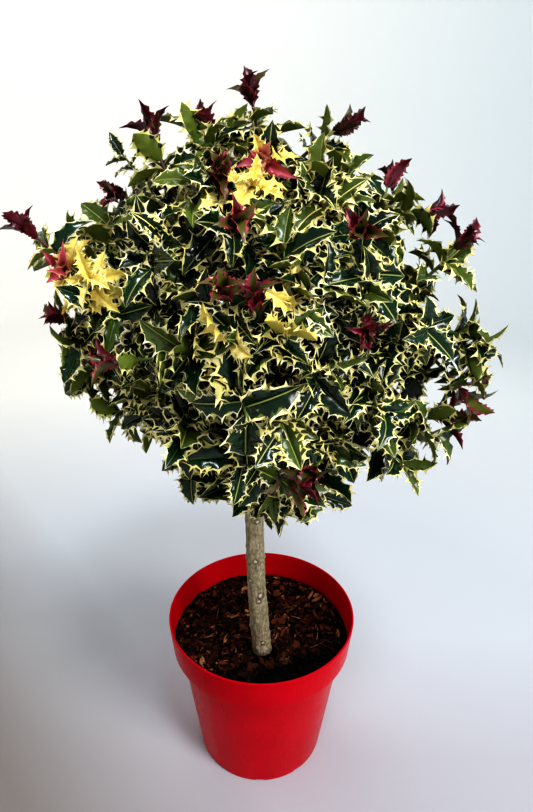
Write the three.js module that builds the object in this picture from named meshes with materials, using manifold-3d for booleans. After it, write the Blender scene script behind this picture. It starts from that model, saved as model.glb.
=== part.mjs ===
// A variegated holly grown as a small standard: one clear stem with a round crown, in a red plastic pot.
//
// Millimetres, +Z up. The origin is the middle of the pot's flat underside, and -Y is the plant's front.
// Every sub-part is one closed solid: the pot, the bark mulch in it, the trunk, the boughs, and the
// masses of foliage at the boughs' tips. Each mass keeps to its own cone of space round the crown's
// centre: a stem that carries on from the bough, twigs that leave it for their tips, and blades on them.

import * as THREE from "three";
import { mergeVertices } from "three/addons/utils/BufferGeometryUtils.js";
import Module from "manifold-3d";

// ---------------------------------------------------------------- driving dimensions

const CLEAR = 0.3; // gap between solids that touch on the real plant

const POT = {
  height: 224,
  rimRadius: 125,
  bandHeight: 42, // the deep collar round the top
  bandFootRadius: 121,
  neckRadius: 111, // the body just under the collar
  footRadius: 88,
  wall: 2.6,
  floor: 4,
  sides: 48,
  notches: 10, // drainage notches round the foot
  notchWidth: 11,
  notchDepth: 7,
  notchHeight: 3.2,
};
POT.bandFoot = POT.height - POT.bandHeight;

const MULCH = {
  top: 189, // its level, 35 mm under the rim
  rough: 3.5, // depth of the hollows between the bark chips
  rings: 4,
  sides: POT.sides / 2,
  flatRadius: 26, // the level patch under the trunk
};

const TRUNK = {
  foot: new THREE.Vector3(1, -36, MULCH.top + CLEAR),
  height: 400, // from the mulch to the fork
  // the lean, at even steps up the trunk: how far the axis has moved in x and in y
  lean: [
    [0, 0],
    [-6.9, 4.5],
    [-10.3, 7.9],
    [-11.6, 11],
    [-12, 16],
  ],
  footRadius: 12.4,
  forkRadius: 9.2,
  flare: 2.2, // root flare, on top of the foot's radius
  flareHeight: 7, // height over which the flare falls to about a third
  // old pruning knots: share of the height, then how far the bark swells out
  knots: [
    [0.1, 1.5],
    [0.38, 0.9],
    [0.62, 0.8],
  ],
  knotSpread: 0.022, // as a share of the height
  sides: 12,
  steps: 16,
};

const CROWN = {
  centre: new THREE.Vector3(-1, -15, 638),
  massStart: 96, // distance from the centre at which a bough ends and its mass begins
  border: 0.5, // clearance of the foliage to the space of the next mass
  tips: 90, // twig tips spread evenly over the whole crown
  tipDepth: 0.07, // share of the reach by which some tips stay inside it
  lowestTip: -60, // no tip grows nearer the trunk than this elevation
  tipBorder: 20, // clearance of a twig's end to the space of the next mass
};

// The masses of foliage: name, azimuth (0 is the front and 90 the right), elevation, reach of the
// leaf tips from the crown's centre, and height above the mulch at which the bough leaves the trunk.
const MASSES = [
  ["top", 0, 90, 213, 400],
  ["upper_front_right", 45, 44, 208, 342],
  ["upper_back_right", 135, 44, 210, 355],
  ["upper_back_left", 225, 44, 210, 336],
  ["upper_front_left", 315, 44, 208, 349],
  ["front", 2, 2, 206, 290],
  ["right", 74, 4, 222, 307],
  ["back_right", 146, 4, 212, 298],
  ["back_left", 218, 4, 214, 285],
  ["left", 290, 4, 216, 304],
  ["lower_front_right", 42, -40, 214, 250],
  ["lower_back_right", 132, -38, 210, 259],
  ["lower_back_left", 222, -38, 206, 240],
  ["lower_front_left", 316, -40, 204, 255],
].map(([name, azimuth, elevation, reach, boughHeight]) => ({
  name,
  reach,
  boughHeight,
  heading: direction(azimuth, elevation),
}));

// Long leading shoots, which break the round outline: azimuth, elevation and reach.
const SHOOTS = [
  [289, 24, 262],
  [331, 84, 232],
  [281, 62, 226],
  [84, 64, 220],
  [77, 27, 232],
  [68, 1, 258],
  [60, -16, 248],
  [50, -31, 244],
  [14, -53, 228],
  [294, -12, 224],
  [325, -49, 214],
  [168, 34, 238],
  [212, 4, 242],
  [140, -18, 232],
  [238, 50, 230],
];

const BOUGH = { rootRadius: 5.6, tipRadius: 4.4, bow: 0.06, sides: 5, steps: 3 };
const STEM = { rootRadius: 4.4, tipRadius: 3.8, end: 0.7, sides: 5, steps: 3 }; // end: share of the reach
const TWIG = { rootRadius: 2.5, tipRadius: 2.2, bow: 0.12, sides: 3, steps: 2 };

const LEAF = {
  length: 70,
  width: 44,
  thickness: 1.5,
  shortest: 0.86, // shares of the length between which the blades vary
  longest: 1.08,
  sink: 0.8, // how far a root goes past the middle of its twig
  // the blade's corners: share of the length, share of the half width, lift as a share of the length
  corners: [
    [0, 0, 0],
    [0.46, 1, 0.05],
    [1, 0, -0.05],
    [0.46, -1, 0.05],
  ],
  middle: [0.36, 0, -0.02], // where the blade is thickest
};

// How blades stand on a twig: a rosette round its end, then single blades below it.
const MATURE = { rosette: 4, size: 1, spread: [52, 82], over: 27 };
const YOUNG = { rosette: 3, size: 0.55, spread: [20, 38], over: 31 };
const PLACES = 8; // for blades on each twig
const ROSETTE_STEP = 4.5; // along the twig, from one blade of a rosette to the next
const SINGLE_STEP = 13;
const FIRST_STEP = 4.2; // from the twig's end to the first blade
const GOLDEN_ANGLE = Math.PI * (3 - Math.sqrt(5));
const TRIES = 16; // turns that are tried for a blade before its place stays empty
const CLOSING = 2; // degrees by which each try stands closer to the twig

// ---------------------------------------------------------------- materials

const finish = (color, roughness) => new THREE.MeshStandardMaterial({ color, roughness, metalness: 0 });

const RED_PLASTIC = finish(0xc4001a, 0.35);
const BARK_CHIPS = finish(0x3a1c10, 0.95);
const OLD_BARK = finish(0x8d8468, 0.9);
const GREEN_BARK = finish(0x5f6a35, 0.8);
const FOLIAGE = finish(0x1d3b1c, 0.35);

// ---------------------------------------------------------------- numbers and directions

const wasm = await Module();
wasm.setup();

const between = (low, high, share) => low + (high - low) * share;

// A number from 0 to 1 that looks random and is always the same for one seed and one draw.
function roll(seed, draw) {
  const scattered = Math.sin(seed * 12.9898 + draw * 78.233) * 43758.5453;
  return scattered - Math.floor(scattered);
}

function direction(azimuth, elevation) {
  const a = THREE.MathUtils.degToRad(azimuth);
  const e = THREE.MathUtils.degToRad(elevation);
  return new THREE.Vector3(Math.sin(a) * Math.cos(e), -Math.cos(a) * Math.cos(e), Math.sin(e));
}

const fromCentre = (heading, distance) => heading.clone().multiplyScalar(distance).add(CROWN.centre);

// Two directions square to the given one and to each other.
function squareTo(along) {
  const side = new THREE.Vector3(0, 0, 1).cross(along);
  if (side.length() < 0.05) side.set(1, 0, 0).projectOnPlane(along);
  side.normalize();
  return [side, along.clone().cross(side)];
}

// ---------------------------------------------------------------- solids

function toSolid(geometry) {
  const bare = new THREE.BufferGeometry();
  bare.setAttribute("position", geometry.attributes.position);
  bare.setIndex(geometry.index);
  const merged = mergeVertices(bare, 1e-4);
  return new wasm.Manifold(
    new wasm.Mesh({
      numProp: 3,
      vertProperties: merged.attributes.position.array,
      triVerts: new Uint32Array(merged.index.array),
    }),
  );
}

function toGeometry(solid) {
  const mesh = solid.getMesh();
  return new THREE.BufferGeometry()
    .setAttribute("position", new THREE.BufferAttribute(new Float32Array(mesh.vertProperties), 3))
    .setIndex(new THREE.BufferAttribute(new Uint32Array(mesh.triVerts), 1));
}

// The largest closed body of a solid: loose scraps go, and sealed hollows are filled.
function largestBody(solid) {
  return solid.decompose().reduce((best, body) => (body.volume() > best.volume() ? body : best));
}

// Whether a solid meets any of the others.
function meets(solid, others) {
  const { min, max } = solid.boundingBox();
  return others.some((other) => {
    const box = other.boundingBox();
    const apart = [0, 1, 2].some((k) => box.min[k] > max[k] || box.max[k] < min[k]);
    return !apart && !solid.intersect(other).isEmpty();
  });
}

function cornersOf({ attributes: { position } }) {
  const corner = (_, i) => new THREE.Vector3().fromBufferAttribute(position, i);
  return Array.from({ length: position.count }, corner);
}

function movePoints(geometry, where) {
  const { position } = geometry.attributes;
  cornersOf(geometry).forEach((corner, i) => position.setXYZ(i, ...where(corner, i).toArray()));
  return geometry;
}

// A closed limb along a curve: a cylinder whose rings are carried onto the curve, each at its own radius.
function limb(curve, radiusAt, { sides, steps }) {
  let [side] = squareTo(curve.getTangent(0));
  const rings = Array.from({ length: steps + 1 }, (_, i) => {
    const share = i / steps;
    const along = curve.getTangent(share);
    side = side.clone().projectOnPlane(along).normalize();
    return { at: curve.getPoint(share), side, front: side.clone().cross(along), radius: radiusAt(share) };
  });
  return movePoints(new THREE.CylinderGeometry(1, 1, 1, sides, steps), (corner) => {
    const ring = rings[Math.round((corner.y + 0.5) * steps)];
    return ring.at
      .clone()
      .addScaledVector(ring.side, corner.x * ring.radius)
      .addScaledVector(ring.front, corner.z * ring.radius);
  });
}

const taperOf = ({ rootRadius, tipRadius }, extra = 0) => (t) => between(rootRadius, tipRadius, t) + extra;

// A curve that leaves for its end by way of one point.
const arch = (from, through, to) => new THREE.QuadraticBezierCurve3(from, through, to);

function turned(profile, sides) {
  const points = profile.map(([radius, z]) => new THREE.Vector2(radius, z));
  return new THREE.LatheGeometry(points, sides).rotateX(Math.PI / 2);
}

function piece(name, geometry, material) {
  const mesh = new THREE.Mesh(geometry, material);
  mesh.name = name;
  return mesh;
}

// ---------------------------------------------------------------- pot and mulch

// The radius of the pot's inside face at a height, under the collar and in it.
const bodyInside = (z) =>
  between(POT.footRadius, POT.neckRadius, (z - POT.floor) / (POT.bandFoot - POT.floor)) - POT.wall;
const bandInside = (z) =>
  between(POT.bandFootRadius, POT.rimRadius, (z - POT.bandFoot) / POT.bandHeight) - POT.wall;

function makePot() {
  const shell = turned(
    [
      [0, 0],
      [POT.footRadius, 0],
      [POT.neckRadius, POT.bandFoot - POT.wall],
      [POT.bandFootRadius, POT.bandFoot - POT.wall],
      [POT.rimRadius, POT.height],
      [bandInside(POT.height), POT.height],
      [bandInside(POT.bandFoot), POT.bandFoot],
      [bodyInside(POT.bandFoot), POT.bandFoot],
      [bodyInside(POT.floor), POT.floor],
      [0, POT.floor],
    ],
    POT.sides,
  );
  const notches = Array.from({ length: POT.notches }, (_, i) =>
    toSolid(
      new THREE.BoxGeometry(POT.notchDepth * 2, POT.notchWidth, POT.notchHeight * 2)
        .translate(POT.footRadius, 0, 0)
        .rotateZ(((i + 0.5) / POT.notches) * 2 * Math.PI),
    ),
  );
  return piece("pot", toGeometry(toSolid(shell).subtract(wasm.Manifold.union(notches))), RED_PLASTIC);
}

function makeMulch() {
  const [low, ledge, edge] = [POT.floor + CLEAR, POT.bandFoot + CLEAR, bandInside(MULCH.top) - CLEAR];
  const profile = [
    [0, low],
    [bodyInside(low) - CLEAR, low],
    [bodyInside(POT.bandFoot) - CLEAR, ledge],
    [bandInside(ledge) - CLEAR, ledge],
  ];
  const edgeRow = profile.length;
  for (let i = 0; i < MULCH.rings; i++) {
    profile.push([between(edge, MULCH.flatRadius, i / (MULCH.rings - 1)), MULCH.top]);
  }
  const patchRow = profile.length - 1;
  profile.push([0, MULCH.top]);
  const geometry = movePoints(turned(profile, MULCH.sides), (corner, i) => {
    const row = i % profile.length;
    if (row < edgeRow) return corner;
    // the top's rings shift towards the trunk, so that the level patch lies under its foot
    const shift = 1 - profile[row][0] / edge;
    const chip = i % (MULCH.sides * profile.length);
    const hollow = row > edgeRow && row < patchRow ? MULCH.rough * roll(chip, 1) : 0;
    return corner.add(new THREE.Vector3(TRUNK.foot.x * shift, TRUNK.foot.y * shift, -hollow));
  });
  return piece("mulch", geometry, BARK_CHIPS);
}

// ---------------------------------------------------------------- trunk and boughs

const TRUNK_AXIS = new THREE.CatmullRomCurve3(
  TRUNK.lean.map(([x, y], i) => {
    const z = (i / (TRUNK.lean.length - 1)) * TRUNK.height;
    return new THREE.Vector3(x, y, z).add(TRUNK.foot);
  }),
  false,
  "centripetal",
);

function trunkRadius(share) {
  const flare = TRUNK.flare * Math.exp((-share * TRUNK.height) / TRUNK.flareHeight);
  const swelling = TRUNK.knots
    .map(([at, out]) => out * Math.exp(-(((share - at) / TRUNK.knotSpread) ** 2)))
    .reduce((sum, out) => sum + out);
  return between(TRUNK.footRadius, TRUNK.forkRadius, share) + flare + swelling;
}

// The trunk, or the room that it needs with some clearance round it. Its foot is cut level.
function trunkGeometry(clearance) {
  const geometry = limb(TRUNK_AXIS, (t) => trunkRadius(t) + clearance, TRUNK);
  return movePoints(geometry, (corner) => {
    const onFoot = corner.z < TRUNK.foot.z + TRUNK.height / TRUNK.steps / 2;
    return onFoot ? corner.setZ(TRUNK.foot.z) : corner;
  });
}

// A bough from the trunk's axis to the place where its mass begins, bowed down a little.
function boughCurve({ heading, boughHeight }) {
  const share = boughHeight / TRUNK.height;
  const from = TRUNK_AXIS.getPoint(share);
  if (share === 1) from.addScaledVector(TRUNK_AXIS.getTangent(1), CLEAR);
  const to = fromCentre(heading, CROWN.massStart);
  const through = from.clone().lerp(to, 0.5);
  through.z -= BOUGH.bow * from.distanceTo(to);
  return arch(from, through, to);
}

function boughSolid(mass, trunkRoom, clearance) {
  const whole = toSolid(limb(boughCurve(mass), taperOf(BOUGH, clearance), BOUGH));
  return largestBody(whole.subtract(trunkRoom));
}

// ---------------------------------------------------------------- foliage

// How far a point lies inside the space of a mass: its distance to the nearest neighbour's space.
function roomAt(mass, point) {
  const offset = point.clone().sub(CROWN.centre);
  const others = MASSES.filter((other) => other !== mass);
  return Math.min(...others.map((other) => offset.dot(mass.heading.clone().sub(other.heading).normalize())));
}

const massFor = (heading) =>
  MASSES.reduce((best, mass) => (mass.heading.dot(heading) > best.heading.dot(heading) ? mass : best));

// All twig tips: evenly spread ones, then the leading shoots. Each belongs to the mass it lies in.
function makeTips() {
  const tips = [];
  for (let k = 0; k < CROWN.tips; k++) {
    const z = 1 - (2 * (k + 0.5)) / CROWN.tips;
    if (z < Math.sin(THREE.MathUtils.degToRad(CROWN.lowestTip))) continue;
    const level = Math.sqrt(1 - z * z);
    const turn = GOLDEN_ANGLE * k;
    const heading = new THREE.Vector3(level * Math.cos(turn), level * Math.sin(turn), z);
    const most = massFor(heading).reach;
    const reach = most * (1 - CROWN.tipDepth * roll(k, 2));
    tips.push({ heading, reach, limit: most * 1.03, seed: k, end: MATURE });
  }
  SHOOTS.forEach(([azimuth, elevation, reach], k) => {
    tips.push({ heading: direction(azimuth, elevation), reach, limit: reach + 2, seed: 500 + k, end: YOUNG });
  });
  return tips.map((tip) => ({ ...tip, mass: massFor(tip.heading) }));
}

// The stem of a mass, which carries on from its bough.
function stemCurve(mass) {
  const bough = boughCurve(mass);
  const along = bough.getTangent(1);
  const from = bough.getPoint(1).addScaledVector(along, CLEAR);
  const to = fromCentre(mass.heading, mass.reach * STEM.end);
  return arch(from, from.clone().addScaledVector(along, from.distanceTo(to) * 0.35), to);
}

// A twig from the stem to just inside its tip. One that ends near another mass's space turns away from it.
function twigCurve(stem, { mass, heading, reach, end }) {
  const aim = heading.clone();
  const to = () => fromCentre(aim, reach - end.over);
  for (let i = 0; i < 12 && roomAt(mass, to()) < CROWN.tipBorder; i++) {
    aim.lerp(mass.heading, 0.12).normalize();
  }
  const aside = aim.angleTo(mass.heading);
  const from = stem.getPoint(THREE.MathUtils.clamp(0.95 - aside * 1.1, 0.2, 0.95));
  const through = from.clone().lerp(to(), 0.45).addScaledVector(mass.heading, from.distanceTo(to()) * TWIG.bow);
  return arch(from, through, to());
}

// The point at a distance below the end of a twig, on the twig's own straight segments.
function downTwig(curve, distance) {
  const joints = curve.getPoints(TWIG.steps).reverse();
  let i = 0;
  let left = distance;
  while (i < TWIG.steps - 1 && left > joints[i].distanceTo(joints[i + 1])) {
    left -= joints[i].distanceTo(joints[i + 1]);
    i++;
  }
  const along = joints[i].clone().sub(joints[i + 1]).normalize();
  return { at: joints[i].clone().addScaledVector(along, -left), along };
}

// A blade: an eight-faced solid over its corners. It grows from its root with its face turned up.
function bladeGeometry(root, grow, up, length) {
  const side = up.clone().cross(grow);
  const halfWidth = (LEAF.width / 2) * (length / LEAF.length);
  const count = LEAF.corners.length;
  return movePoints(new THREE.SphereGeometry(1, count, 2), ({ x, y, z }) => {
    const onEdge = Math.abs(y) < 0.5;
    const turn = Math.round((Math.atan2(z, x) / (2 * Math.PI)) * count);
    const [u, v, w] = onEdge ? LEAF.corners[(turn + count) % count] : LEAF.middle;
    const skin = onEdge ? 0 : (Math.sign(y) * LEAF.thickness) / 2;
    return root
      .clone()
      .addScaledVector(grow, u * length)
      .addScaledVector(side, v * halfWidth)
      .addScaledVector(up, w * length + skin);
  });
}

// The blades of one twig. A blade that doesn't fit is turned round the twig until one does.
function bladesOn(curve, { seed, end }, fits) {
  const blades = [];
  for (let i = 0; i < PLACES; i++) {
    const inRosette = i < end.rosette;
    const singles = inRosette ? 0 : i - end.rosette + 1;
    const distance = FIRST_STEP + ROSETTE_STEP * (i - singles) + SINGLE_STEP * singles;
    if (distance > curve.getLength() - STEM.rootRadius) break;
    const { at, along } = downTwig(curve, distance);
    const [side, front] = squareTo(along);
    const { size, spread } = inRosette ? end : MATURE;
    const length = LEAF.length * size * between(LEAF.shortest, LEAF.longest, roll(seed, 30 + i));
    const start = 2 * Math.PI * (roll(seed, 3) + (inRosette ? i / end.rosette : 0)) + GOLDEN_ANGLE * singles;
    for (let attempt = 0; attempt < TRIES; attempt++) {
      const turn = start + attempt * GOLDEN_ANGLE;
      const open = THREE.MathUtils.degToRad(between(...spread, roll(seed, 10 + i)) - attempt * CLOSING);
      const out = side.clone().multiplyScalar(Math.cos(turn)).addScaledVector(front, Math.sin(turn));
      const grow = along.clone().multiplyScalar(Math.cos(open)).addScaledVector(out, Math.sin(open));
      const up = along.clone().multiplyScalar(Math.sin(open)).addScaledVector(out, -Math.cos(open));
      const geometry = bladeGeometry(at.clone().addScaledVector(grow, -LEAF.sink), grow, up, length);
      if (!fits(geometry) || meets(toSolid(geometry), blades)) continue;
      blades.push(toSolid(geometry));
      break;
    }
  }
  return blades;
}

// One mass of foliage: a stem, its twigs and their blades, fused. Nothing in it leaves the mass's
// space or touches a limb, and no blade crosses another.
function makeMass(mass, tips, limbs) {
  const staysIn = (geometry, limit) =>
    cornersOf(geometry).every(
      (corner) => corner.distanceTo(CROWN.centre) < limit && roomAt(mass, corner) > CROWN.border,
    );
  const stem = stemCurve(mass);
  const solids = [toSolid(limb(stem, taperOf(STEM), STEM))];
  const twigs = [];
  for (const tip of tips) {
    const curve = twigCurve(stem, tip);
    const geometry = limb(curve, taperOf(TWIG), TWIG);
    const solid = toSolid(geometry);
    if (!staysIn(geometry, tip.limit) || meets(solid, limbs)) continue;
    twigs.push({ tip, curve, solid });
    solids.push(solid);
  }
  for (const { tip, curve, solid } of twigs) {
    const others = [...limbs, ...solids.filter((other) => other !== solid)];
    const fits = (geometry) => staysIn(geometry, tip.limit) && !meets(toSolid(geometry), others);
    solids.push(...bladesOn(curve, tip, fits));
  }
  const fused = largestBody(wasm.Manifold.union(solids)).simplify(0.05);
  return piece("foliage_" + mass.name, toGeometry(fused), FOLIAGE);
}

// ---------------------------------------------------------------- the whole plant

const plant = new THREE.Group();
plant.add(makePot(), makeMulch(), piece("trunk", trunkGeometry(0), OLD_BARK));

const trunkRoom = toSolid(trunkGeometry(CLEAR));
const boughRooms = MASSES.map((mass) => boughSolid(mass, trunkRoom, CLEAR));
const allTips = makeTips();

for (const mass of MASSES) {
  const tips = allTips.filter((tip) => tip.mass === mass);
  plant.add(piece("bough_" + mass.name, toGeometry(boughSolid(mass, trunkRoom, 0)), GREEN_BARK));
  plant.add(makeMass(mass, tips, [trunkRoom, ...boughRooms]));
}

export default plant;
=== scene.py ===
"""A variegated holly on a clear stem, in a red plastic pot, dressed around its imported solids.

Metres in Blender, +Z up. The origin is the middle of the pot's flat underside, and -Y is the plant's
front. The growth rule works in millimetres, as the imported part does, and MM turns them into metres.
"""

import math
from collections import namedtuple

import bmesh
import bpy
import numpy as np
from bpy.props import FloatProperty, FloatVectorProperty, IntProperty, PointerProperty
from mathutils import Matrix, Vector, noise


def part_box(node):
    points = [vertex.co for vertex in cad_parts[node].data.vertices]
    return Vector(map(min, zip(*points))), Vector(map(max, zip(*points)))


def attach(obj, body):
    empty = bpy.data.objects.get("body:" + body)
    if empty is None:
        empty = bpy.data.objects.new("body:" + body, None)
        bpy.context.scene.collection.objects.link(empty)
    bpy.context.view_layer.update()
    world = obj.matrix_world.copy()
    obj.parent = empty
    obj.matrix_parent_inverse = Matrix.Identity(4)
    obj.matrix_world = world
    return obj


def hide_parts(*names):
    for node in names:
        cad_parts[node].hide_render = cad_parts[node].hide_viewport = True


bl_info = {
    "name": "Variegated holly standard",
    "version": (1, 0, 0),
    "blender": (4, 5, 0),
    "location": "3D View > Sidebar > Holly",
    "description": "Dresses a small variegated holly tree in a red pot around its packed solids",
    "category": "Add Mesh",
}

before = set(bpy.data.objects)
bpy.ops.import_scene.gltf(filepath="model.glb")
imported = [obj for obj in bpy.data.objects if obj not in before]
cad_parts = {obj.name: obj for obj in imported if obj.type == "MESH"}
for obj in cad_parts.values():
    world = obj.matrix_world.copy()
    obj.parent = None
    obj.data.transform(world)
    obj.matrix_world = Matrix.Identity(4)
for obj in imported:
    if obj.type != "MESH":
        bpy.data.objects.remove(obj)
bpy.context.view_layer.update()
POT_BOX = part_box("pot")

MM = 0.001
GOLDEN_ANGLE = math.pi * (3 - math.sqrt(5))


# ---------------------------------------------------------------- numbers and directions


def between(low, high, share):
    return low + (high - low) * share


def clamp(value, low, high):
    return max(low, min(high, value))


def roll(seed, draw):
    """A number from 0 to 1 that looks random and is always the same for one seed and one draw."""
    scattered = math.sin(seed * 12.9898 + draw * 78.233) * 43758.5453
    return scattered - math.floor(scattered)


def direction(azimuth, elevation):
    """Azimuth 0 is the front and 90 the right, in degrees."""
    a = math.radians(azimuth)
    e = math.radians(elevation)
    return Vector((math.sin(a) * math.cos(e), -math.cos(a) * math.cos(e), math.sin(e)))


def linear(code):
    """The linear colour of a hex code."""
    shares = [int(code[i : i + 2], 16) / 255 for i in (0, 2, 4)]
    return tuple(s / 12.92 if s <= 0.04045 else ((s + 0.055) / 1.055) ** 2.4 for s in shares)


def square_to(along):
    """Two directions square to the given one and to each other."""
    side = Vector((0, 0, 1)).cross(along)
    if side.length < 0.05:
        side = Vector((1, 0, 0)) - along * along.x
    side.normalize()
    return side, along.cross(side)


# ---------------------------------------------------------------- the plant's plan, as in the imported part

# The mulch's top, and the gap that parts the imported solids.
MULCH_TOP = 189
CLEAR = 0.3

# The trunk: where it starts, its lean at even steps up, and its flare at the mulch.
TRUNK_FOOT = Vector((1, -36, MULCH_TOP + CLEAR))
TRUNK_HEIGHT = 400
TRUNK_LEAN = [(0, 0), (-6.9, 4.5), (-10.3, 7.9), (-11.6, 11), (-12, 16)]
TRUNK_FLARE = 0.4
TRUNK_FLARE_HEIGHT = 7

# The crown: how far out its masses begin, the share of a mass's reach that its stem has, how many even
# tips there are, by what share their reach varies, how low they go, and how far they keep from another
# mass's space.
CROWN_CENTRE = Vector((-1, -15, 638))
MASS_START = 96
STEM_END = 0.7
MAIN_TIPS = 90
TIP_DEPTH = 0.07
LOWEST_TIP = -60
TIP_BORDER = 20

# How limbs run, in shares of their length: how far a bough sags, how far a stem carries on straight from
# its bough, and where and how far a twig bows.
BOUGH_SAG = 0.06
STEM_STRAIGHT = 0.35
BOW_AT, BOW = 0.45, 0.12
# How often at most a twig turns back from another mass's space, and by what share each time.
TURNS_BACK, TURN_BACK = 12, 0.12

# A mass of foliage. Its space is every point nearer to its heading than to any other's.
Mass = namedtuple("Mass", "name heading reach bough_height")
MASSES = [
    Mass(name, direction(azimuth, elevation), reach, bough_height)
    for name, azimuth, elevation, reach, bough_height in [
        ("top", 0, 90, 213, 400),
        ("upper_front_right", 45, 44, 208, 342),
        ("upper_back_right", 135, 44, 210, 355),
        ("upper_back_left", 225, 44, 210, 336),
        ("upper_front_left", 315, 44, 208, 349),
        ("front", 2, 2, 206, 290),
        ("right", 74, 4, 222, 307),
        ("back_right", 146, 4, 212, 298),
        ("back_left", 218, 4, 214, 285),
        ("left", 290, 4, 216, 304),
        ("lower_front_right", 42, -40, 214, 250),
        ("lower_back_right", 132, -38, 210, 259),
        ("lower_back_left", 222, -38, 206, 240),
        ("lower_front_left", 316, -40, 204, 255),
    ]
]

# Long leading shoots, which break the round outline: azimuth, elevation, reach, and their leaves' kind.
SHOOTS = [
    (289, 24, 262, "maroon"), (331, 84, 232, "maroon"), (281, 62, 226, "maroon"),
    (84, 64, 220, "maroon"), (77, 27, 232, "maroon"), (68, 1, 258, "leading"), (60, -16, 248, "bronze"),
    (50, -31, 244, "leading"), (14, -53, 228, "leading"), (294, -12, 224, "leading"),
    (325, -49, 214, "leading"), (168, 34, 238, "maroon"), (212, 4, 242, "leading"),
    (140, -18, 232, "maroon"), (238, 50, 230, "maroon"),
]


class Arch:
    """A curve that leaves for its end by way of one point."""

    def __init__(self, start, through, end):
        self.start, self.through, self.end = start.copy(), through.copy(), end.copy()

    def point(self, t):
        return self.start * (1 - t) ** 2 + self.through * (2 * t * (1 - t)) + self.end * t**2

    def tangent(self, t):
        slope = (self.through - self.start) * (1 - t) + (self.end - self.through) * t
        return slope.normalized()

    def length(self):
        return (self.end - self.start).length


class TrunkAxis:
    """A centripetal Catmull-Rom curve through the trunk's lean."""

    def __init__(self):
        last = len(TRUNK_LEAN) - 1
        self.knots = [
            TRUNK_FOOT + Vector((x, y, TRUNK_HEIGHT * i / last)) for i, (x, y) in enumerate(TRUNK_LEAN)
        ]

    def point(self, t):
        knots = self.knots
        last = len(knots) - 1
        i = min(int(t * last), last - 1)
        w = t * last - i
        before = knots[i - 1] if i > 0 else knots[0] * 2 - knots[1]
        after = knots[i + 2] if i + 2 <= last else knots[last] * 2 - knots[last - 1]
        start, end = knots[i], knots[i + 1]
        first, mid, final = (
            (b - a).length ** 0.5 for a, b in ((before, start), (start, end), (end, after))
        )
        leave = (start - before) / first - (end - before) / (first + mid) + (end - start) / mid
        arrive = (end - start) / mid - (after - start) / (mid + final) + (after - end) / final
        leave, arrive = leave * mid, arrive * mid
        square = (end - start) * 3 - leave * 2 - arrive
        cube = (start - end) * 2 + leave + arrive
        return start + leave * w + square * w**2 + cube * w**3

    def tangent(self, t):
        step = 0.001
        return (self.point(min(1, t + step)) - self.point(max(0, t - step))).normalized()


TRUNK_AXIS = TrunkAxis()


def from_centre(heading, distance):
    return CROWN_CENTRE + heading * distance


def bough_curve(mass):
    """A bough from the trunk's axis to the place where its mass begins, bowed down a little."""
    share = mass.bough_height / TRUNK_HEIGHT
    start = TRUNK_AXIS.point(share)
    end = from_centre(mass.heading, MASS_START)
    through = start.lerp(end, 0.5)
    through.z -= BOUGH_SAG * (end - start).length
    return Arch(start, through, end)


def stem_curve(mass):
    """The stem of a mass, which carries on from its bough."""
    bough = bough_curve(mass)
    along = bough.tangent(1)
    start = bough.end
    end = from_centre(mass.heading, mass.reach * STEM_END)
    return Arch(start, start + along * ((end - start).length * STEM_STRAIGHT), end)


def mass_for(heading):
    return max(MASSES, key=lambda mass: mass.heading.dot(heading))


def room_at(mass, point):
    """How far a point lies inside the space of a mass."""
    offset = point - CROWN_CENTRE
    return min(
        offset.dot((mass.heading - other.heading).normalized()) for other in MASSES if other is not mass
    )


# A twig that leaves its carrier for its tip, which bears a tuft of leaves.
Twig = namedtuple("Twig", "curve mass heading reach limit seed kind fine")

# How leaves stand at a twig's end: how far the tuft stands out over the end, and its rings. Each ring
# has: how many leaves, their share of the full length, the degrees by which the first and the last
# stand away from the twig, the millimetres from the twig's end to the first, and from leaf to leaf.
TUFTS = {
    "full": (29, [(7, 1.0, 34, 94, 1.5, 4.8)]),
    "leading": (33, [(9, 0.9, 20, 92, 1.0, 4.8)]),
    "sprig": (17, [(5, 0.6, 20, 86, 1.0, 7.0)]),
    "rosette": (16, [(10, 0.75, 46, 94, 0.5, 2.2)]),
    "airy": (24, [(6, 0.72, 24, 86, 1.0, 7.5)]),
    "inner": (27, [(6, 1.0, 46, 96, 2.0, 8.0)]),
    "tulip": (23, [(5, 0.64, 6, 40, 0.6, 1.3), (5, 0.94, 52, 88, 18.0, 5.0)]),
    "star": (25, [(6, 0.74, 16, 70, 0.8, 2.6), (4, 0.94, 60, 90, 23.0, 5.0)]),
    "bud": (20, [(6, 0.6, 4, 30, 0.6, 1.3), (4, 0.74, 56, 88, 17.0, 4.5)]),
    "bold": (16, [(6, 1.2, 52, 96, 1.0, 6.5)]),
}
# In these tufts the first ring is of young leaves.
YOUNG_TUFTS = ("tulip", "star", "bud")
# The yellow rosettes turn to the front.
ROSETTES_FACE = Vector((0.2, -1.6, 0.4))
# Each kind of twig: its tuft, the kind of its young or touched leaves, and the kind of the others.
TWIG_KINDS = {
    "plain": ("full", "plain", "plain"),
    "cream": ("full", "cream", "cream"),
    "fresh": ("full", "fresh", "fresh"),
    "touched": ("full", "yellow", "plain"),
    "leading": ("leading", "plain", "plain"),
    "sprig": ("sprig", "plain", "plain"),
    "airy": ("airy", "plain", "plain"),
    "bold": ("bold", "plain", "plain"),
    "inner": ("inner", "shaded", "shaded"),
    "yellow": ("rosette", "yellow", "yellow"),
    "maroon": ("tulip", "maroon", "plain"),
    "rosy": ("tulip", "rosy", "plain"),
    "bronze": ("star", "bronze", "plain"),
    "bud": ("bud", "rosy", "plain"),
    "pink": ("bud", "pink", "yellow"),
}

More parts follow.
